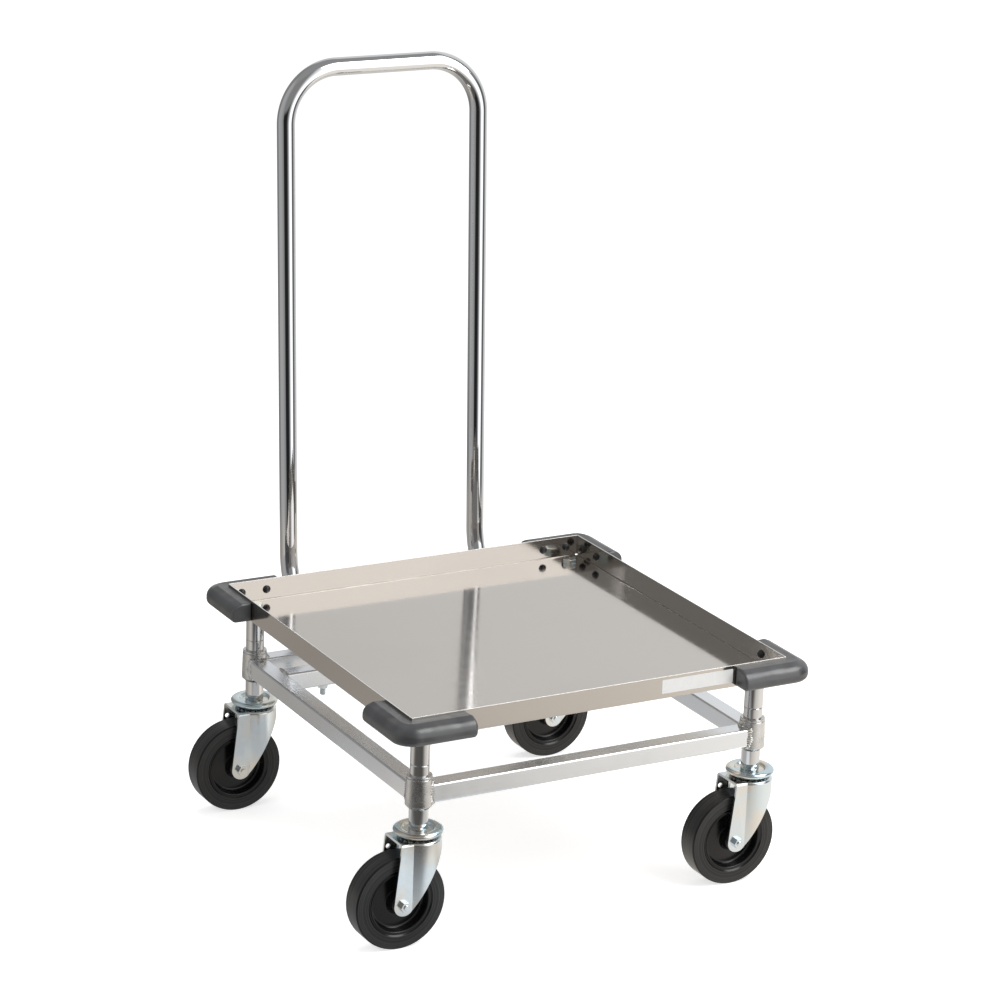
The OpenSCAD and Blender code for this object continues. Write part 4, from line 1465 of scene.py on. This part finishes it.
def floor_material():
    """White paper that keeps the dolly's shadow, and the studio's ground to polished metal."""
    material = bpy.data.materials.new("studio_floor")
    material.use_nodes = True
    material.cycles.emission_sampling = "NONE"
    tree = material.node_tree
    tree.nodes.clear()
    out = add_node(tree, "OutputMaterial")
    seen, rays = seen_directly_or_mirrored(tree)
    paper = add_node(tree, "BsdfDiffuse")
    paper.inputs["Color"].default_value = rgba(FLOOR_PAPER)
    glow = add_node(tree, "Emission")
    tree.links.new(math_node(tree, "MULTIPLY", seen, FLOOR_GLOW), glow.inputs["Strength"])
    plain = add_node(tree, "AddShader")
    tree.links.new(paper.outputs[0], plain.inputs[0])
    tree.links.new(glow.outputs[0], plain.inputs[1])
    place = surface_vector(tree)
    distance = vector_math(tree, "LENGTH", place)
    room = use_group(tree, "Studio room")
    tree.links.new(place, room.inputs["Direction"])
    tree.links.new(spread(tree, distance, *FAR_FLOOR, 1.0, 0.0), room.inputs["Ground"])
    least = spread(tree, distance, *NEAR_FLOOR, NEAR_LEVEL, 0.0)
    ground = vector_math(tree, "MAXIMUM", room.outputs["Color"], least)
    from_card = vector_math(tree, "DISTANCE", place, WHITE_CARD_AT)
    colour = mixed_colour(tree, spread(tree, from_card, *WHITE_CARD_EDGE), rgba(WHITE_CARD), ground)
    mirrored = add_node(tree, "Emission")
    tree.links.new(colour, mirrored.inputs["Color"])
    shown = mixed_shader(tree, rays.outputs["Is Glossy Ray"], plain.outputs[0], mirrored.outputs[0])
    tree.links.new(shown, out.inputs["Surface"])
    return material


def dress_world(scene):
    """Plain white to the camera, the studio room to polished metal, a level grey light to all else."""
    world = bpy.data.worlds.new("Studio")
    scene.world = world
    world.use_nodes = True
    world.cycles.sampling_method = "NONE"
    tree = world.node_tree
    tree.nodes.clear()
    out = add_node(tree, "OutputWorld")
    seen, rays = seen_directly_or_mirrored(tree)
    level = add_node(tree, "Background")
    level.inputs["Color"].default_value = (1, 1, 1, 1)
    level.inputs["Strength"].default_value = ROOM_LEVEL
    room = use_group(tree, "Studio room")
    tree.links.new(add_node(tree, "TexCoord").outputs["Generated"], room.inputs["Direction"])
    shown = add_node(tree, "Background")
    colour = mixed_colour(tree, rays.outputs["Is Camera Ray"], room.outputs["Color"], (1.0, 1.0, 1.0, 1))
    tree.links.new(colour, shown.inputs["Color"])
    tree.links.new(mixed_shader(tree, seen, level.outputs[0], shown.outputs[0]), out.inputs["Surface"])


def add_lamp(name, place, size, power, shines):
    """A soft square lamp that faces the dolly's middle."""
    lamp = bpy.data.lights.new(name, "AREA")
    lamp.shape = "SQUARE"
    lamp.size = size
    lamp.energy = power
    holder = bpy.data.objects.new(name, lamp)
    holder.location = place
    holder.rotation_euler = (LAMP_AIM - Vector(place)).to_track_quat("-Z", "Y").to_euler()
    holder.visible_glossy = shines
    holder.visible_camera = False
    bpy.context.scene.collection.objects.link(holder)


class DOLLY_OT_set_stage(bpy.types.Operator):
    """Set the floor, the lamps, the world and the camera"""
    bl_idname = "dolly.set_stage"
    bl_label = "Set Stage"

    def execute(self, context):
        scene = context.scene
        scene.view_settings.view_transform = "Standard"
        bm = bmesh.new()
        bmesh.ops.create_grid(bm, x_segments=1, y_segments=1, size=FLOOR_SIZE / 2)
        mesh = bpy.data.meshes.new("studio_floor")
        bm.to_mesh(mesh)
        bm.free()
        mesh.materials.append(floor_material())
        floor = bpy.data.objects.new("studio_floor", mesh)
        scene.collection.objects.link(floor)
        dress_world(scene)
        for lamp in LAMPS:
            add_lamp(*lamp)
        lens = bpy.data.cameras.new("photo_camera")
        lens.lens = LENS
        lens.sensor_width = SENSOR
        lens.clip_start = NEAREST
        lens.clip_end = FARTHEST
        camera = bpy.data.objects.new("photo_camera", lens)
        turn = (Matrix.Rotation(CAMERA_AZIMUTH, 4, "Z")
                @ Matrix.Rotation(math.pi / 2 - CAMERA_ELEVATION, 4, "X")
                @ Matrix.Rotation(CAMERA_ROLL, 4, "Z"))
        camera.matrix_world = shift(CAMERA_PLACE) @ turn
        scene.collection.objects.link(camera)
        scene.camera = camera
        return {"FINISHED"}


class DOLLY_PT_pieces(bpy.types.Panel):
    """The dolly's sizes, colours and pieces"""
    bl_idname = "DOLLY_PT_pieces"
    bl_label = "Dish Rack Dolly"
    bl_space_type = "VIEW_3D"
    bl_region_type = "UI"
    bl_category = "Dolly"

    def draw(self, context):
        layout = self.layout
        for settings in (context.scene.dolly_sizes, context.scene.dolly_colours):
            for name in settings.__annotations__:
                layout.prop(settings, name)
        for operator in OPERATORS:
            layout.operator(operator.bl_idname)


OPERATORS = (
    DOLLY_OT_set_stage,
    DOLLY_OT_add_tray,
    DOLLY_OT_add_tray_bolts,
    DOLLY_OT_add_bumpers,
    DOLLY_OT_add_posts,
    DOLLY_OT_add_collars,
    DOLLY_OT_add_rails,
    DOLLY_OT_add_welds,
    DOLLY_OT_add_handle,
    DOLLY_OT_add_clamps,
    DOLLY_OT_add_caps,
    DOLLY_OT_add_forks,
    DOLLY_OT_add_wheels,
    DOLLY_OT_add_axles,
    DOLLY_OT_dress_inner_parts,
)
CLASSES = (DollySizes, DollyColours, *OPERATORS, DOLLY_PT_pieces)


def register():
    for item in CLASSES:
        bpy.utils.register_class(item)
    bpy.types.Scene.dolly_sizes = PointerProperty(type=DollySizes)
    bpy.types.Scene.dolly_colours = PointerProperty(type=DollyColours)


def unregister():
    del bpy.types.Scene.dolly_colours
    del bpy.types.Scene.dolly_sizes
    for item in reversed(CLASSES):
        bpy.utils.unregister_class(item)


def main():
    register()
    for operator in OPERATORS:
        group, name = operator.bl_idname.split(".")
        getattr(getattr(bpy.ops, group), name)()


if __name__ == "__main__":
    main()
